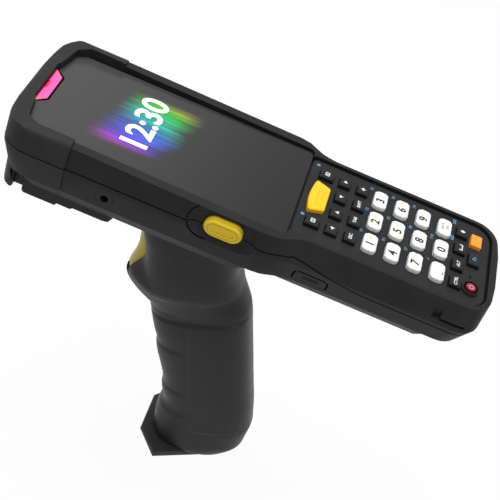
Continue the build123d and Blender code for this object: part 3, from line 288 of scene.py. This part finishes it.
CASING = moulded("casing_plastic_black", srgb(27, 27, 28), 0.5, 0.13)
REAR_CASING = moulded("rear_casing_black", srgb(31, 31, 32), 0.5, 0.13)
BUMPER = moulded("bumper_rubber_black", srgb(34, 34, 35), 0.6, 0.13, 0.5 * MM, 0.015 * MM)
LOWER_BUMPER = moulded("lower_bumper_rubber", srgb(42, 42, 43), 0.6, 0.13, 0.5 * MM, 0.015 * MM)
SEAL = moulded("seal_rubber_black", srgb(8, 8, 8), 0.8, 0.08)
PANEL = moulded("panel_plastic_charcoal", srgb(34, 34, 35), 0.55, 0.12, 0.3 * MM, 0.01 * MM)
CRADLE = moulded("cradle_plastic_black", srgb(28, 28, 29), 0.45, 0.15)
GRIP = grip_finish()
# Painted light: the foot's black plastic is lighter than the cradle's, so that its top, which lies in shade,
# shows brighter.
FOOT = moulded("foot_plastic_painted_light", srgb(54, 54, 55), 0.5, 0.15)
KEY_BLACK = moulded("key_rubber_black", srgb(20, 20, 21), 0.5, 0.2, 0.2 * MM, 0.006 * MM)
KEY_WHITE = moulded("key_rubber_white", srgb(228, 228, 226), 0.5, 0.3, 0.2 * MM, 0.004 * MM, 0.02)
KEY_YELLOW = moulded("key_rubber_yellow", srgb(240, 186, 30), 0.5, 0.3, 0.2 * MM, 0.004 * MM, 0.03)
KEY_ORANGE = moulded("key_rubber_orange", srgb(240, 146, 54), 0.5, 0.3, 0.2 * MM, 0.004 * MM, 0.03)
KEY_RED = moulded("key_rubber_red", srgb(128, 31, 46), 0.45, 0.3, 0.2 * MM, 0.004 * MM, 0.03)
BUTTON = button_finish()
TRIGGER = moulded("trigger_plastic_yellow", srgb(176, 154, 44), 0.36, 0.35, 0.25 * MM, 0.006 * MM, 0.05)
JACK = moulded("jack_plastic_black", srgb(24, 24, 25), 0.4, 0.2)
PACK = moulded("battery_plastic_black", srgb(28, 28, 29), 0.45, 0.15)
MAT = moulded("mat_rubber_grey", srgb(60, 60, 62), 0.75, 0.15)
GLASS = glass_finish()
LENS = lens_finish()
WINDOW = Finish("window_red_glass").set(Base_Color=srgb(40, 6, 8), Roughness=0.08, Specular_IOR_Level=0.6)
SCREEN = Finish("screen_backing").set(Base_Color=srgb(30, 30, 32), Roughness=0.4)
BOARD = moulded("board_green", srgb(20, 70, 45), 0.4, 0.4)
ENGINE = metal("engine_metal_grey", srgb(120, 122, 126), 0.35)
STEEL = metal("screw_steel_dark", srgb(110, 110, 114), 0.3)
SPRING_STEEL = metal("spring_steel_bright", srgb(190, 190, 194), 0.25)
INK_WHITE = painted("ink_white", srgb(225, 225, 225))
INK_BLACK = painted("ink_black", srgb(18, 18, 20))
INK_BLUE = painted("ink_blue", srgb(84, 136, 178))
INK_ORANGE = painted("ink_orange", srgb(226, 204, 178))
INK_GREY = painted("ink_grey", srgb(150, 150, 150))
INK_PINK = painted("ink_pink", srgb(245, 170, 185))
INK_SHADE = painted("ink_shade", srgb(206, 156, 18))
GROOVE = moulded("groove_black", srgb(4, 4, 4), 0.8, 0.0)
BUTTON_LINE = painted("button_line", srgb(142, 122, 24))
SCREEN_WHITE = painted("screen_white", srgb(250, 250, 250), 0.3, 0.35)

FINISHES = {
    "front_housing": CASING, "rear_housing": REAR_CASING, "housing_seal": SEAL,
    "head_bumper_upper": BUMPER, "head_bumper_lower": LOWER_BUMPER,
    "display_glass": GLASS, "status_lens": LENS, "display_module": SCREEN,
    "keypad_panel": PANEL, "keypad_mat": MAT, "main_board": BOARD, "scan_engine": ENGINE,
    "scan_window": WINDOW, "side_switches": ENGINE, "trigger_switch": ENGINE,
    "side_button_left": BUTTON, "side_button_right": BUTTON,
    "audio_jack": JACK, "battery_pack": PACK, "battery_cover": PACK,
    "latch_left": REAR_CASING, "latch_right": REAR_CASING, "cradle": CRADLE,
    "grip_shell_left": GRIP, "grip_shell_right": GRIP, "grip_foot": FOOT,
    "trigger": TRIGGER, "trigger_pin": STEEL, "trigger_spring": SPRING_STEEL, "case_screws": STEEL,
    "key_scan": KEY_YELLOW, "key_alpha": KEY_ORANGE, "key_power": KEY_RED,
}
for key in KEYS:
    FINISHES.setdefault(key, KEY_WHITE if key in WHITE_KEYS else KEY_BLACK)
for name, finish in FINISHES.items():
    NODES[name].data.materials.clear()
    NODES[name].data.materials.append(finish.material)


# ------------------------------------------------------------------ soft edges

SHARP_ANGLE = math.radians(31.0)
BEVEL_STEPS = 3
WELD_REACH = 0.001 * MM
EDGE_ROUNDS = {
    0.28: KEYS,
    0.6: ("front_housing",),
    0.5: ("head_bumper_upper", "head_bumper_lower", "side_button_left", "side_button_right", "trigger"),
    0.35: ("rear_housing", "cradle", "grip_foot", "battery_cover"),
    0.2: ("keypad_panel", "latch_left", "latch_right", "status_lens", "audio_jack"),
    0.0: ("housing_seal", "case_screws", "trigger_spring"),
}


def smooth_by_angle():
    """Geometry nodes that shade a mesh smooth except over edges sharper than an angle."""
    group = bpy.data.node_groups.new("smooth_by_angle", "GeometryNodeTree")
    for way in ("INPUT", "OUTPUT"):
        group.interface.new_socket("Geometry", in_out=way, socket_type="NodeSocketGeometry")
    nodes = Nodes(group)
    start = nodes.node("NodeGroupInput", {})
    turn = nodes.node("GeometryNodeInputMeshEdgeAngle", {}, out="Unsigned Angle")
    sharp = turn.maths("GREATER_THAN", SHARP_ANGLE)
    shade = nodes.node("GeometryNodeSetMeshNormal", {}, Mesh=start, Remove_Custom=True, Edge_Sharpness=sharp)
    nodes.feed(group.nodes.new("NodeGroupOutput").inputs[0], shade)
    return group


SMOOTH = smooth_by_angle()


def soften(name, width):
    """Joins a CAD mesh's faces, shades its shallow edges smooth and rounds its sharp ones."""
    node = NODES[name]
    weld = node.modifiers.new("joined", "WELD")
    weld.merge_threshold = WELD_REACH
    node.modifiers.new("smooth", "NODES").node_group = SMOOTH
    if width:
        bevel = node.modifiers.new("soft_edges", "BEVEL")
        bevel.width = width
        bevel.segments = BEVEL_STEPS
        bevel.limit_method = "ANGLE"
        bevel.angle_limit = SHARP_ANGLE
        bevel.harden_normals = True


for width, names in EDGE_ROUNDS.items():
    for name in names:
        soften(name, width * MM)


# ------------------------------------------------------------------ shapes
# A shape is a list of corners and a list of faces.


def ring_points(count, *radii):
    """Points all round, anticlockwise from the right, at each radius in turn."""
    turns = [(radii[i % len(radii)], math.tau * i / count) for i in range(count)]
    return [(radius * math.cos(a), radius * math.sin(a)) for radius, a in turns]


def arc_points(radius, start, end, step, centre=(0.0, 0.0)):
    """Points from one angle to another round a centre, in degrees anticlockwise from the right."""
    past_end = end + (1 if step > 0 else -1)
    turns = [math.radians(a) for a in range(start, past_end, step)]
    return [(centre[0] + radius * math.cos(a), centre[1] + radius * math.sin(a)) for a in turns]


def pill_points(long, tall, centre):
    """The points of a stadium that lies along the first axis."""
    radius, reach = tall / 2, (long - tall) / 2
    ends = [(centre[0] + reach, centre[1]), (centre[0] - reach, centre[1])]
    return arc_points(radius, -90, 90, 15, ends[0]) + arc_points(radius, 90, 270, 15, ends[1])


def mesh_object(name, shapes, place=tuple):
    """A linked object made of the given shapes, with each corner put where place says."""
    verts, faces = [], []
    for corners, flats in shapes:
        start = len(verts)
        verts += [place(corner) for corner in corners]
        faces += [tuple(start + i for i in flat) for flat in flats]
    mesh = bpy.data.meshes.new(name)
    mesh.from_pydata(verts, [], faces)
    mesh.update()
    made = bpy.data.objects.new(name, mesh)
    bpy.context.scene.collection.objects.link(made)
    return made


# ------------------------------------------------------------------ grip skin

# The grip as rings in millimetres under the glass: height at GRIP_MIDDLE, tilt, front, back, half width.
GRIP_MIDDLE = 28.0
GRIP_RINGS = (
    (-32.0, 0.0, 62.0, 12.5, 18.4),
    (-40.0, 0.0, 61.4, 12.3, 18.5),
    (-47.0, 0.02, 60.6, 12.0, 18.8),
    (-54.0, 0.06, 57.8, 11.0, 19.2),
    (-60.0, 0.15, 55.6, 10.0, 19.7),
    (-66.0, 0.26, 54.4, 8.5, 19.9),
    (-70.0, 0.33, 53.8, 7.4, 19.9),
    (-73.0, GRIP_TILT, 52.6, 6.4, 19.5),
    (-76.0, GRIP_TILT, 51.0, 5.0, 18.3),
    (-79.0, GRIP_TILT, 49.6, 3.3, 17.6),
    (-84.1, GRIP_TILT, 47.2, 0.4, 16.7),
    (-88.0, GRIP_TILT, 45.4, -1.6, 16.0),
    (-91.6, GRIP_TILT, 44.1, -2.9, 15.5),
    (-93.4, GRIP_TILT, 43.5, -3.5, 16.6),
    (-105.3, GRIP_TILT, 39.4, -7.0, 17.0),
    (-112.6, GRIP_TILT, 36.4, -9.2, 17.0),
    (-119.8, GRIP_TILT, 34.6, -11.4, 17.0),
    (-131.0, GRIP_TILT, 30.4, -14.8, 17.0),
    (-142.7, GRIP_TILT, 26.2, -18.3, 17.0),
    (-152.2, 0.34, 24.2, -21.5, 17.0),
    (-160.5, 0.29, 21.6, -24.9, 16.9),
    (-167.0, 0.21, 22.2, -27.8, 16.9),
    (-171.8, 0.17, 22.6, -29.4, 17.0),
    (-178.0, 0.07, 22.0, -29.4, 17.2),
    (-181.5, 0.03, 21.2, -26.2, 17.3),
    (-184.0, 0.0, 20.4, -21.5, 17.2),
    (-185.8, 0.0, 19.4, -16.0, 16.8),
)
# The beak that the middle finger lies under: ring height, how far forward, and how blunt.
BEAK_RINGS = (
    (-55.0, 49.0, 2.3), (-60.0, 53.5, 2.3), (-64.0, 57.0, 2.3), (-67.0, 59.4, 2.3), (-70.0, 61.3, 2.3),
    (-73.0, 62.2, 2.1), (-76.0, 62.2, 2.0), (-79.0, 60.0, 1.9), (-81.6, 55.6, 1.8), (-83.6, 50.0, 1.8),
    (-85.2, 45.0, 1.8), (-87.0, 41.0, 1.8),
)
BEAK_BLEND = 1.0
# Where each finger's place starts, how proud its upper edge is, and over what distances that edge rises
# from the skin above and dies away towards the side panel.
FINGERS, FINGERS_END, LAST_FINGER = (-86.5, -113.0, -146.0, -162.5), -172.0, 12.0
FINGER_EDGE, EDGE_RISE, EDGE_FADE = 0.55, 2.6, 8.0
# How square the rings are in front and behind; 2 is an ellipse.
FRONT_SQUARE, BACK_SQUARE = 2.8, 2.5
RING_STEP, RING_POINTS = 0.8, 56
FLAT_FRONT = 17.0           # further forward than this from GRIP_MIDDLE, the rings lie level
TRIGGER_SLOT = ((-7.9, 40.0, -82.3), (7.9, 80.0, -20.0))
SCREW_WELLS = ((36.0, -92.0), (3.0, -120.0), (0.0, -158.0))
WELL_RADIUS, WELL_FLOOR, WELL_MOUTH, WELL_SIDES = 1.95, 7.0, 30.0, 32


def smooth_rows(rows, height):
    """The numbers of a table at a height, on curves that don't overshoot its rows."""
    last = len(rows) - 1
    i = min(max(sum(1 for row in rows if row[0] > height) - 1, 0), last - 1)
    span = rows[i][0] - rows[i + 1][0]
    t = (rows[i][0] - height) / span

    def slope(k, column):
        if not 0 < k < last:
            return 0.0
        before = (rows[k][column] - rows[k - 1][column]) / (rows[k - 1][0] - rows[k][0])
        after = (rows[k + 1][column] - rows[k][column]) / (rows[k][0] - rows[k + 1][0])
        if before * after <= 0:
            return 0.0
        return 2 * before * after / (before + after)

    numbers = []
    for column in range(1, len(rows[0])):
        start, end = rows[i][column], rows[i + 1][column]
        rise, settle = slope(i, column) * span, slope(i + 1, column) * span
        numbers.append(start * (2 * t ** 3 - 3 * t ** 2 + 1) + rise * (t ** 3 - 2 * t ** 2 + t)
                       + end * (3 * t ** 2 - 2 * t ** 3) + settle * (t ** 3 - t ** 2))
    return numbers


def finger_edge(height, y, panel_y):
    """How far the skin stands out at a finger's place: most at its upper edge, nothing on the panel."""
    starts = [start for start in FINGERS if start >= height]
    if not starts or height < FINGERS_END:
        return 0.0
    following = [start for start in FINGERS if start < height]
    pitch = starts[-1] - following[0] if following else LAST_FINGER
    below = starts[-1] - height
    fade = min(max((y - panel_y) / EDGE_FADE, 0.0), 1.0)
    return FINGER_EDGE * min(below / EDGE_RISE, 1.0) * (1 - below / pitch) * fade


def beak_front(height, x, y, half):
    """How far forward the skin lies where the beak may stand out in front of a ring's own front."""
    if not BEAK_RINGS[-1][0] < height < BEAK_RINGS[0][0]:
        return y
    nose, blunt = smooth_rows(BEAK_RINGS, height)
    beak = GRIP_MIDDLE + (nose - GRIP_MIDDLE) * (1 - (x / half) ** blunt) ** (1 / blunt)
    return (y + beak + math.hypot(y - beak, BEAK_BLEND)) / 2


def grip_ring(height):
    """Half a ring of the skin, from its back round to its front, as points in millimetres."""
    tilt, front, back, half = smooth_rows(GRIP_RINGS, height)
    reach = (front - back) / 2
    points = []
    for i in range(RING_POINTS + 1):
        turn = math.pi * (i / RING_POINTS - 0.5)
        sign, square = (1, FRONT_SQUARE) if turn > 0 else (-1, BACK_SQUARE)
        across, ahead = max(math.cos(turn), 0.0), abs(math.sin(turn))
        facing = Vector((across ** (2 - 2 / square) / half, ahead ** (2 - 2 / square) / reach)).normalized()
        x = half * across ** (2 / square)
        y = (front + back) / 2 + sign * reach * ahead ** (2 / square)
        if turn > 0:
            y = beak_front(height, x, y, half)
        level = height - tilt * min(y - GRIP_MIDDLE, FLAT_FRONT)
        out = finger_edge(height, y, panel_front(level))
        points.append(Vector((x + facing.x * out, y + sign * facing.y * out, level)))
    return points


def ring_heights():
    """The heights of all rings: even steps between the table's rows."""
    heights = [GRIP_RINGS[0][0]]
    for (above, *_), (below, *_) in zip(GRIP_RINGS, GRIP_RINGS[1:]):
        count = max(round((above - below) / RING_STEP), 1)
        heights += [above + (below - above) * (i + 1) / count for i in range(count)]
    return heights


def half_grip(side):
    """One closed half of the skin."""
    rings = [grip_ring(height) for height in ring_heights()]
    corners = [(side * p.x * MM, p.y * MM, p.z * MM + GLASS_TOP) for ring in rings for p in ring]
    row = RING_POINTS + 1
    faces = []
    for i in range(len(rings) - 1):
        for k in range(row - 1):
            a, b = i * row + k, (i + 1) * row + k
            faces.append((a, b, b + 1, a + 1))
        a, b = i * row, (i + 1) * row
        faces.append((a, a + row - 1, b + row - 1, b))
    faces.append(tuple(range(row)))
    faces.append(tuple(reversed(range(len(corners) - row, len(corners)))))
    if side < 0:
        faces = [tuple(reversed(face)) for face in faces]
    return corners, faces


def box_shape(low, high):
    """A box between two corners in millimetres under the glass."""
    corners = [(x * MM, y * MM, z * MM + GLASS_TOP) for x in (low[0], high[0]) for y in (low[1], high[1])
               for z in (low[2], high[2])]
    return corners, [(0, 1, 3, 2), (4, 6, 7, 5), (0, 4, 5, 1), (2, 3, 7, 6), (0, 2, 6, 4), (1, 5, 7, 3)]


def well_shape(y, z):
    """A round bore into the right side of the grip, for a screw."""
    sides = WELL_SIDES
    corners = [(x * MM, (y + ahead) * MM, (z + up) * MM + GLASS_TOP) for x in (WELL_FLOOR, WELL_MOUTH)
               for ahead, up in ring_points(sides, WELL_RADIUS)]
    faces = [(i, (i + 1) % sides, sides + (i + 1) % sides, sides + i) for i in range(sides)]
    return corners, [*faces, tuple(reversed(range(sides))), tuple(range(sides, 2 * sides))]


def cut_away(piece, cuts):
    """Takes closed shapes out of a piece's mesh."""
    cutter = mesh_object("grip_cutter", cuts)
    cut = piece.modifiers.new("openings", "BOOLEAN")
    cut.operation = "DIFFERENCE"
    cut.solver = "EXACT"
    cut.object = cutter
    shaped = piece.evaluated_get(bpy.context.evaluated_depsgraph_get())
    cut_mesh = bpy.data.meshes.new_from_object(shaped)
    piece.modifiers.clear()
    piece.data = cut_mesh
    bpy.data.objects.remove(cutter)


def grip_skin(name, side, node):
    """One half of the grip with its trigger slot and, on the right, the wells of its screws."""
    piece = mesh_object(name, [half_grip(side)])
    wells = [well_shape(y, z) for y, z in SCREW_WELLS] if side > 0 else []
    cut_away(piece, [box_shape(*TRIGGER_SLOT), *wells])
    piece.data.materials.clear()
    piece.data.materials.append(GRIP.material)
    piece.modifiers.new("smooth", "NODES").node_group = SMOOTH
    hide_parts(node)
    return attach(piece, "terminal")


for hand, side in SIDES:
    grip_skin(f"grip_skin_{hand}", side, f"grip_shell_{hand}")


# ------------------------------------------------------------------ printed legends
# Prints are drawn in millimetres about a place: a key's middle, or the frame's own origin.

PRINT_RISE = 0.03 * MM
PRINT_THICK = 0.05 * MM
PRINT_WELD = 0.002 * MM
FONT_SIZE = 1.38            # the font's size over the height of its capitals
ON_GLASS = Vector((0.0, 0.0, GLASS_TOP + PRINT_RISE))
LETTERS = {"1": "@/", "2": "ABC", "3": "DEF", "4": "GHI", "5": "JKL", "6": "MNO", "7": "PQRS", "8": "TUV",
           "9": "WXYZ"}
WORDS = {"key_escape": "ESC", "key_tab": "TAB", "key_shift": "SHFT", "key_control": "CTRL", "key_alt": "ALT"}
ARROW_TURNS = {"key_left": 90, "key_up": 0, "key_down": 180, "key_right": -90}
ARROW = ((-1.15, -0.95), (1.15, -0.95), (0.0, 1.05))
DIAMOND = ((0.0, 1.35), (0.9, 0.0), (0.0, -1.35), (-0.9, 0.0))
STAR = ring_points(8, 1.35, 0.55)[::-1]
DOT = ring_points(10, 0.45)
SUN = ring_points(12, 0.7, 1.1)
SPACE_BAR = ((-1.6, 0.7), (-1.6, -0.7), (1.6, -0.7), (1.6, 0.7))
MACRO_FRAME = ((-1.0, -0.8), (1.0, -0.8), (1.0, 0.8), (-1.0, 0.8))
LOCK_FRAME = ((-1.3, -0.5), (-1.3, 0.5), (1.3, 0.5), (1.3, -0.5))
SUN_PLACES = ((-12.8, -3.45), (23.1, -3.45))
LOCK_PLACES = ((12.2, -70.4), (23.6, -70.4))
LENS_EDGE = ((-13.4, 120.2), (-8.8, 115.1), (8.8, 115.1), (13.4, 120.2))


def lettering(words, height, centre=(0.0, 0.0), weight=0.0):
    """Flat letters of that capital height about a centre."""
    curve = bpy.data.curves.new("letters", "FONT")
    curve.body = words
    curve.align_x = "CENTER"
    curve.align_y = "CENTER"
    curve.size = height * FONT_SIZE * MM
    curve.offset = weight * MM
    curve.resolution_u = 4
    holder = bpy.data.objects.new("letters", curve)
    mesh = bpy.data.meshes.new_from_object(holder)
    corners = [vertex.co.to_2d() + Vector(centre) * MM for vertex in mesh.vertices]
    faces = [tuple(face.vertices) for face in mesh.polygons]
    bpy.data.objects.remove(holder)
    bpy.data.curves.remove(curve)
    return corners, faces


def outline(points, centre=(0.0, 0.0), scale=1.0):
    """One filled shape from points about a centre."""
    corners = [(Vector(point) * scale + Vector(centre)) * MM for point in points]
    return corners, [tuple(range(len(corners)))]


def band(points, width, centre=(0.0, 0.0), closed=False):
    """A line of constant width through points about a centre."""
    path = [(Vector(point) + Vector(centre)) * MM for point in points]
    count = len(path)
    corners = []
    for i, here in enumerate(path):
        before = path[i - 1] if closed or i else here
        after = path[(i + 1) % count] if closed or i < count - 1 else here
        arrive = (here - before).normalized() if here != before else (after - here).normalized()
        leave = (after - here).normalized() if here != after else arrive
        normal = (arrive + leave).normalized().orthogonal()
        reach = width * MM / 2 / max(normal.dot(arrive.orthogonal()), 0.4)
        corners += [here + normal * reach, here - normal * reach]
    faces = []
    for i in range(count if closed else count - 1):
        a, b = 2 * i, 2 * ((i + 1) % count)
        faces.append((a, a + 1, b + 1, b))
    return corners, faces


def turned(points, degrees):
    """Points turned anticlockwise about their middle."""
    turn = Matrix.Rotation(math.radians(degrees), 2)
    return [tuple(turn @ Vector(point)) for point in points]


def printed(name, shapes, place, finish, body):
    """One thin piece made of flat shapes drawn about a place."""
    piece = mesh_object(name, shapes, lambda corner: (place.x + corner.x, place.y + corner.y, place.z))
    weld = piece.modifiers.new("joined", "WELD")
    weld.merge_threshold = PRINT_WELD
    thick = piece.modifiers.new("ink", "SOLIDIFY")
    thick.thickness = PRINT_THICK
    thick.offset = 1.0
    piece.data.materials.append(finish.material)
    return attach(piece, body)


def key_middle(key):
    """The middle of a key's top, where a print lies."""
    low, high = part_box(key)
    return Vector(((low.x + high.x) / 2, (low.y + high.y) / 2, high.z + PRINT_RISE))


def print_key(name, key, shapes, finish):
    return printed(name, shapes, key_middle(key), finish, f"{key}_body")


def print_digits():
    """The white keys' digits, with the small letters of a telephone keypad."""
    for digit in "0123456789":
        key = f"key_{digit}"
        print_key(f"digit_{digit}", key, [lettering(digit, 4.0, (-1.1, 0.0), 0.13)], INK_BLACK)
        if digit in LETTERS:
            print_key(f"letters_{digit}", key, [lettering(LETTERS[digit], 1.4, (2.6, 0.6))], INK_ORANGE)
    print_key("point_mark", "key_point", [outline(DOT, (-1.1, -2.0))], INK_BLACK)
    rows = [lettering("BACK", 1.25, (0.0, 1.1), 0.02), lettering("DEL", 1.25, (0.0, -1.1), 0.02)]
    print_key("delete_words", "key_delete", rows, INK_GREY)


def print_signs():
    """The arrows, words and signs on the small black keys."""
    for key, turn in ARROW_TURNS.items():
        print_key(f"{key}_arrow", key, [outline(turned(ARROW, turn), scale=0.85)], INK_WHITE)
    for key, words in WORDS.items():
        print_key(f"{key}_word", key, [lettering(words, 1.5, weight=0.05)], INK_WHITE)
    print_key("back_star", "key_back", [outline(STAR)], INK_WHITE)
    print_key("star_diamond", "key_star", [outline(DIAMOND)], INK_WHITE)
    print_key("space_bar", "key_space", [band(SPACE_BAR, 0.5)], INK_WHITE)
    for hand, side in SIDES:
        marks = [band(MACRO_FRAME, 0.4, closed=True), outline(turned(ARROW, -90 * side), scale=0.45)]
        print_key(f"macro_{hand}_mark", f"key_macro_{hand}", marks, INK_WHITE)
    print_key("fn_word", "key_fn", [lettering("Fn", 1.9, weight=0.05)], INK_BLUE)


def print_power_key():
    """The power sign and the dark gap round the key's top."""
    sign = [band(arc_points(1.05, 50, -230, -20), 0.32), band(((0.0, 0.3), (0.0, 1.5)), 0.32)]
    print_key("power_mark", "key_power", sign, INK_PINK)
    reach = (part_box("key_power")[1].x - key_middle("key_power").x) / MM - 0.65
    print_key("power_rim", "key_power", [band(ring_points(32, reach), 0.7, closed=True)], GROOVE)


def print_second_functions():
    """The blue second functions beside the keys."""
    shapes = []
    for number in range(1, 11):
        x, y, _ = key_middle(f"key_{number % 10}") / MM
        shapes.append(lettering(f"F{number}", 1.5, (x + 7.3, y + 4.65), 0.04))
    x, y, _ = key_middle("key_point") / MM
    shapes.append(band(((-0.5, -0.5), (0.5, 0.5)), 0.4, (x + 7.0, y + 4.6)))
    shapes += [outline(SUN, centre) for centre in SUN_PLACES]
    for centre in LOCK_PLACES:
        shapes += [band(LOCK_FRAME, 0.4, centre, closed=True), outline(turned(ARROW, 90), centre, 0.4)]
    printed("panel_second_functions", shapes, ON_GLASS, INK_BLUE, "terminal")


def print_scan_slot():
    """The slot line on the scan key."""
    line = [(4.2, -1.1), *arc_points(1.1, -90, -270, -20, (-4.4, 0.0)), (4.2, 1.1)]
    print_key("scan_slot_line", "key_scan", [band(line, 0.22, (0.0, -0.6))], INK_SHADE)


def print_glass():
    """The clock on the screen and the dark line where the glass meets the lens."""
    printed("screen_clock", [lettering("12:30", 12.5, (1.5, 73.5), 0.35)], ON_GLASS, SCREEN_WHITE, "terminal")
    printed("lens_edge", [band(LENS_EDGE, 0.8)], ON_GLASS, GROOVE, "terminal")


print_digits()
print_signs()
print_power_key()
print_second_functions()
print_scan_slot()
print_glass()


# ------------------------------------------------------------------ lines on the sides
# These are drawn in millimetres along Y and in height under the glass, and lie on the pieces' skin.

GAP_REACH = 30.0 * MM       # how far out a line lies where it crosses an open gap
RAY_START = 0.1
LATCH_ARCH = ((-9.3, -18.2), (-9.3, -14.6), (-10.0, -13.2), (-11.6, -12.4), (-22.4, -12.4), (-24.0, -13.2),
              (-24.7, -14.6), (-24.7, -18.2))
LATCH_RIBS = (((-13.2, -15.0), (-20.8, -15.0)), ((-13.2, -16.1), (-20.8, -16.1)))
BUTTON_RING = pill_points(13.2, 5.6, (24.8, -5.0))
DISH_END = arc_points(8.2, 52, -100, -4, (32.4, -5.0))
SOCKET_MIDDLE, SOCKET_RADIUS = (75.4, -14.0), 4.1
LINE_STEP = 0.8


def side_skin(side, *names):
    """A function that gives how far out the named pieces' skin lies at a place on that side."""
    settled = bpy.context.evaluated_depsgraph_get()
    skins = [BVHTree.FromObject(NODES[name], settled) for name in names]

    def reach(y, z):
        start, inward = Vector((side * RAY_START, y, z)), Vector((-side, 0.0, 0.0))
        hits = [skin.ray_cast(start, inward)[0] for skin in skins]
        return max((abs(hit.x) for hit in hits if hit), default=GAP_REACH)

    return reach


def fine_path(points):
    """The path's points with more between them, so that a line on it follows the skin."""
    path = [points[0]]
    for (y0, h0), (y1, h1) in zip(points, points[1:]):
        count = max(math.ceil(math.hypot(y1 - y0, h1 - h0) / LINE_STEP), 1)
        path += [(y0 + (y1 - y0) * (i + 1) / count, h0 + (h1 - h0) * (i + 1) / count) for i in range(count)]
    return path


def on_side(name, shapes, nodes, side, finish, body):
    """One thin piece of the shapes, lying on the named pieces' side."""
    reach = side_skin(side, *nodes)

    def place(corner):
        height = corner.y + GLASS_TOP
        return (side * (reach(corner.x, height) + PRINT_RISE), corner.x, height)

    piece = mesh_object(name, shapes, place)
    thick = piece.modifiers.new("line", "SOLIDIFY")
    thick.thickness = PRINT_THICK
    thick.offset = 0.0
    piece.data.materials.append(finish.material)
    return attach(piece, body)


def draw_latch_lines(hand, side):
    """The gap round a battery latch and the ribs on it."""
    latch = f"latch_{hand}"
    pieces = (latch, "rear_housing")
    on_side(f"latch_gap_{hand}", [band(fine_path(LATCH_ARCH), 0.75)], pieces, side, GROOVE, "terminal")
    ribs = [band(fine_path(rib), 0.3) for rib in LATCH_RIBS]
    on_side(f"latch_ribs_{hand}", ribs, pieces, side, GROOVE, f"{latch}_body")


def draw_button_lines(hand, side):
    """The ring on a scan button's face and the line round the end of its dish."""
    button = f"side_button_{hand}"
    on_side(f"button_ring_{hand}", [band(BUTTON_RING, 0.22, closed=True)], (button,), side, BUTTON_LINE,
            f"{button}_body")
    casing = ("front_housing", "rear_housing", "housing_seal")
    on_side(f"dish_end_{hand}", [band(DISH_END, 0.45)], casing, side, GROOVE, "terminal")


def draw_socket_ring():
    """The line round the headset socket."""
    ring = [band(ring_points(40, SOCKET_RADIUS), 0.45, SOCKET_MIDDLE, closed=True)]
    on_side("socket_ring", ring, ("rear_housing", "audio_jack"), -1, GROOVE, "terminal")


for hand, side in SIDES:
    draw_latch_lines(hand, side)
    draw_button_lines(hand, side)
draw_socket_ring()


# ------------------------------------------------------------------ stage, light and camera

WHITE = (1.0, 1.0, 1.0)
FLOOR_GREY = (0.8, 0.8, 0.8)
FLOOR_WHITE, FLOOR_REACH = 0.95, 4.0
WORLD_LIGHT = 0.44
CAMERA_PLACE = (-0.34014, 0.02294, 0.46129)
CAMERA_RIGHT = Vector((0.2449, -0.9214, 0.3017)).normalized()
CAMERA_AHEAD = Vector((0.7328, -0.0279, -0.6799))
LENS_MM, SENSOR_MM = 72.0, 36.0


def white_for_view(nodes, surface, white, strength):
    """White where the camera, a gloss or a clear piece sees it, and the surface itself elsewhere."""
    kinds = ("Is Camera Ray", "Is Glossy Ray", "Is Transmission Ray")
    camera, gloss, clear = [nodes.node("ShaderNodeLightPath", {}, out=kind) for kind in kinds]
    seen = camera.maths("MAXIMUM", gloss.maths("MAXIMUM", clear))
    return nodes.node("ShaderNodeMixShader", {}, seen * strength, surface, white)


def make_floor():
    corners = [(-FLOOR_REACH, -FLOOR_REACH, 0), (FLOOR_REACH, -FLOOR_REACH, 0), (FLOOR_REACH, FLOOR_REACH, 0),
               (-FLOOR_REACH, FLOOR_REACH, 0)]
    floor = mesh_object("floor", [(corners, [(0, 1, 2, 3)])])
    pale = Finish("pale_floor").set(Base_Color=FLOOR_GREY, Roughness=0.9, Specular_IOR_Level=0.1)
    plain = Value(pale, pale.shader.outputs[0])
    glow = pale.node("ShaderNodeEmission", {}, Color=WHITE, Strength=1.0)
    shown = white_for_view(pale, plain, glow, FLOOR_WHITE)
    pale.feed(pale.tree.nodes["Material Output"].inputs["Surface"], shown)
    floor.data.materials.append(pale.material)


def make_world():
    world = bpy.data.worlds.new("studio")
    bpy.context.scene.world = world
    world.use_nodes = True
    nodes = Nodes(world.node_tree)
    soft = world.node_tree.nodes["Background"]
    nodes.feed(soft.inputs["Color"], WHITE)
    nodes.feed(soft.inputs["Strength"], WORLD_LIGHT)
    backdrop = nodes.node("ShaderNodeBackground", {}, Color=WHITE, Strength=1.0)
    shown = white_for_view(nodes, Value(nodes, soft.outputs[0]), backdrop, 1.0)
    nodes.feed(world.node_tree.nodes["World Output"].inputs["Surface"], shown)


def make_lamp(name, place, target, size, power):
    lamp = bpy.data.lights.new(name, "AREA")
    lamp.shape = "DISK"
    lamp.size = size
    lamp.energy = power
    holder = bpy.data.objects.new(name, lamp)
    holder.location = place
    holder.rotation_euler = (Vector(target) - Vector(place)).to_track_quat("-Z", "Y").to_euler()
    bpy.context.scene.collection.objects.link(holder)


def make_camera():
    camera = bpy.data.cameras.new("view")
    camera.lens = LENS_MM
    camera.sensor_width = SENSOR_MM
    camera.clip_start = 0.01
    holder = bpy.data.objects.new("view", camera)
    back = -CAMERA_AHEAD
    back = (back - back.dot(CAMERA_RIGHT) * CAMERA_RIGHT).normalized()
    up = back.cross(CAMERA_RIGHT)
    turn = Matrix((CAMERA_RIGHT, up, back)).transposed().to_4x4()
    holder.matrix_world = Matrix.Translation(CAMERA_PLACE) @ turn
    bpy.context.scene.collection.objects.link(holder)
    bpy.context.scene.camera = holder


make_floor()
make_world()
make_lamp("top_softbox", (0.15, 0.35, 1.3), (0, 0, 0.15), 0.8, 15)
make_lamp("side_softbox", (-0.9, -0.9, 0.8), (0, 0, 0.12), 0.7, 4)
make_camera()
bpy.context.scene.view_settings.view_transform = "Standard"
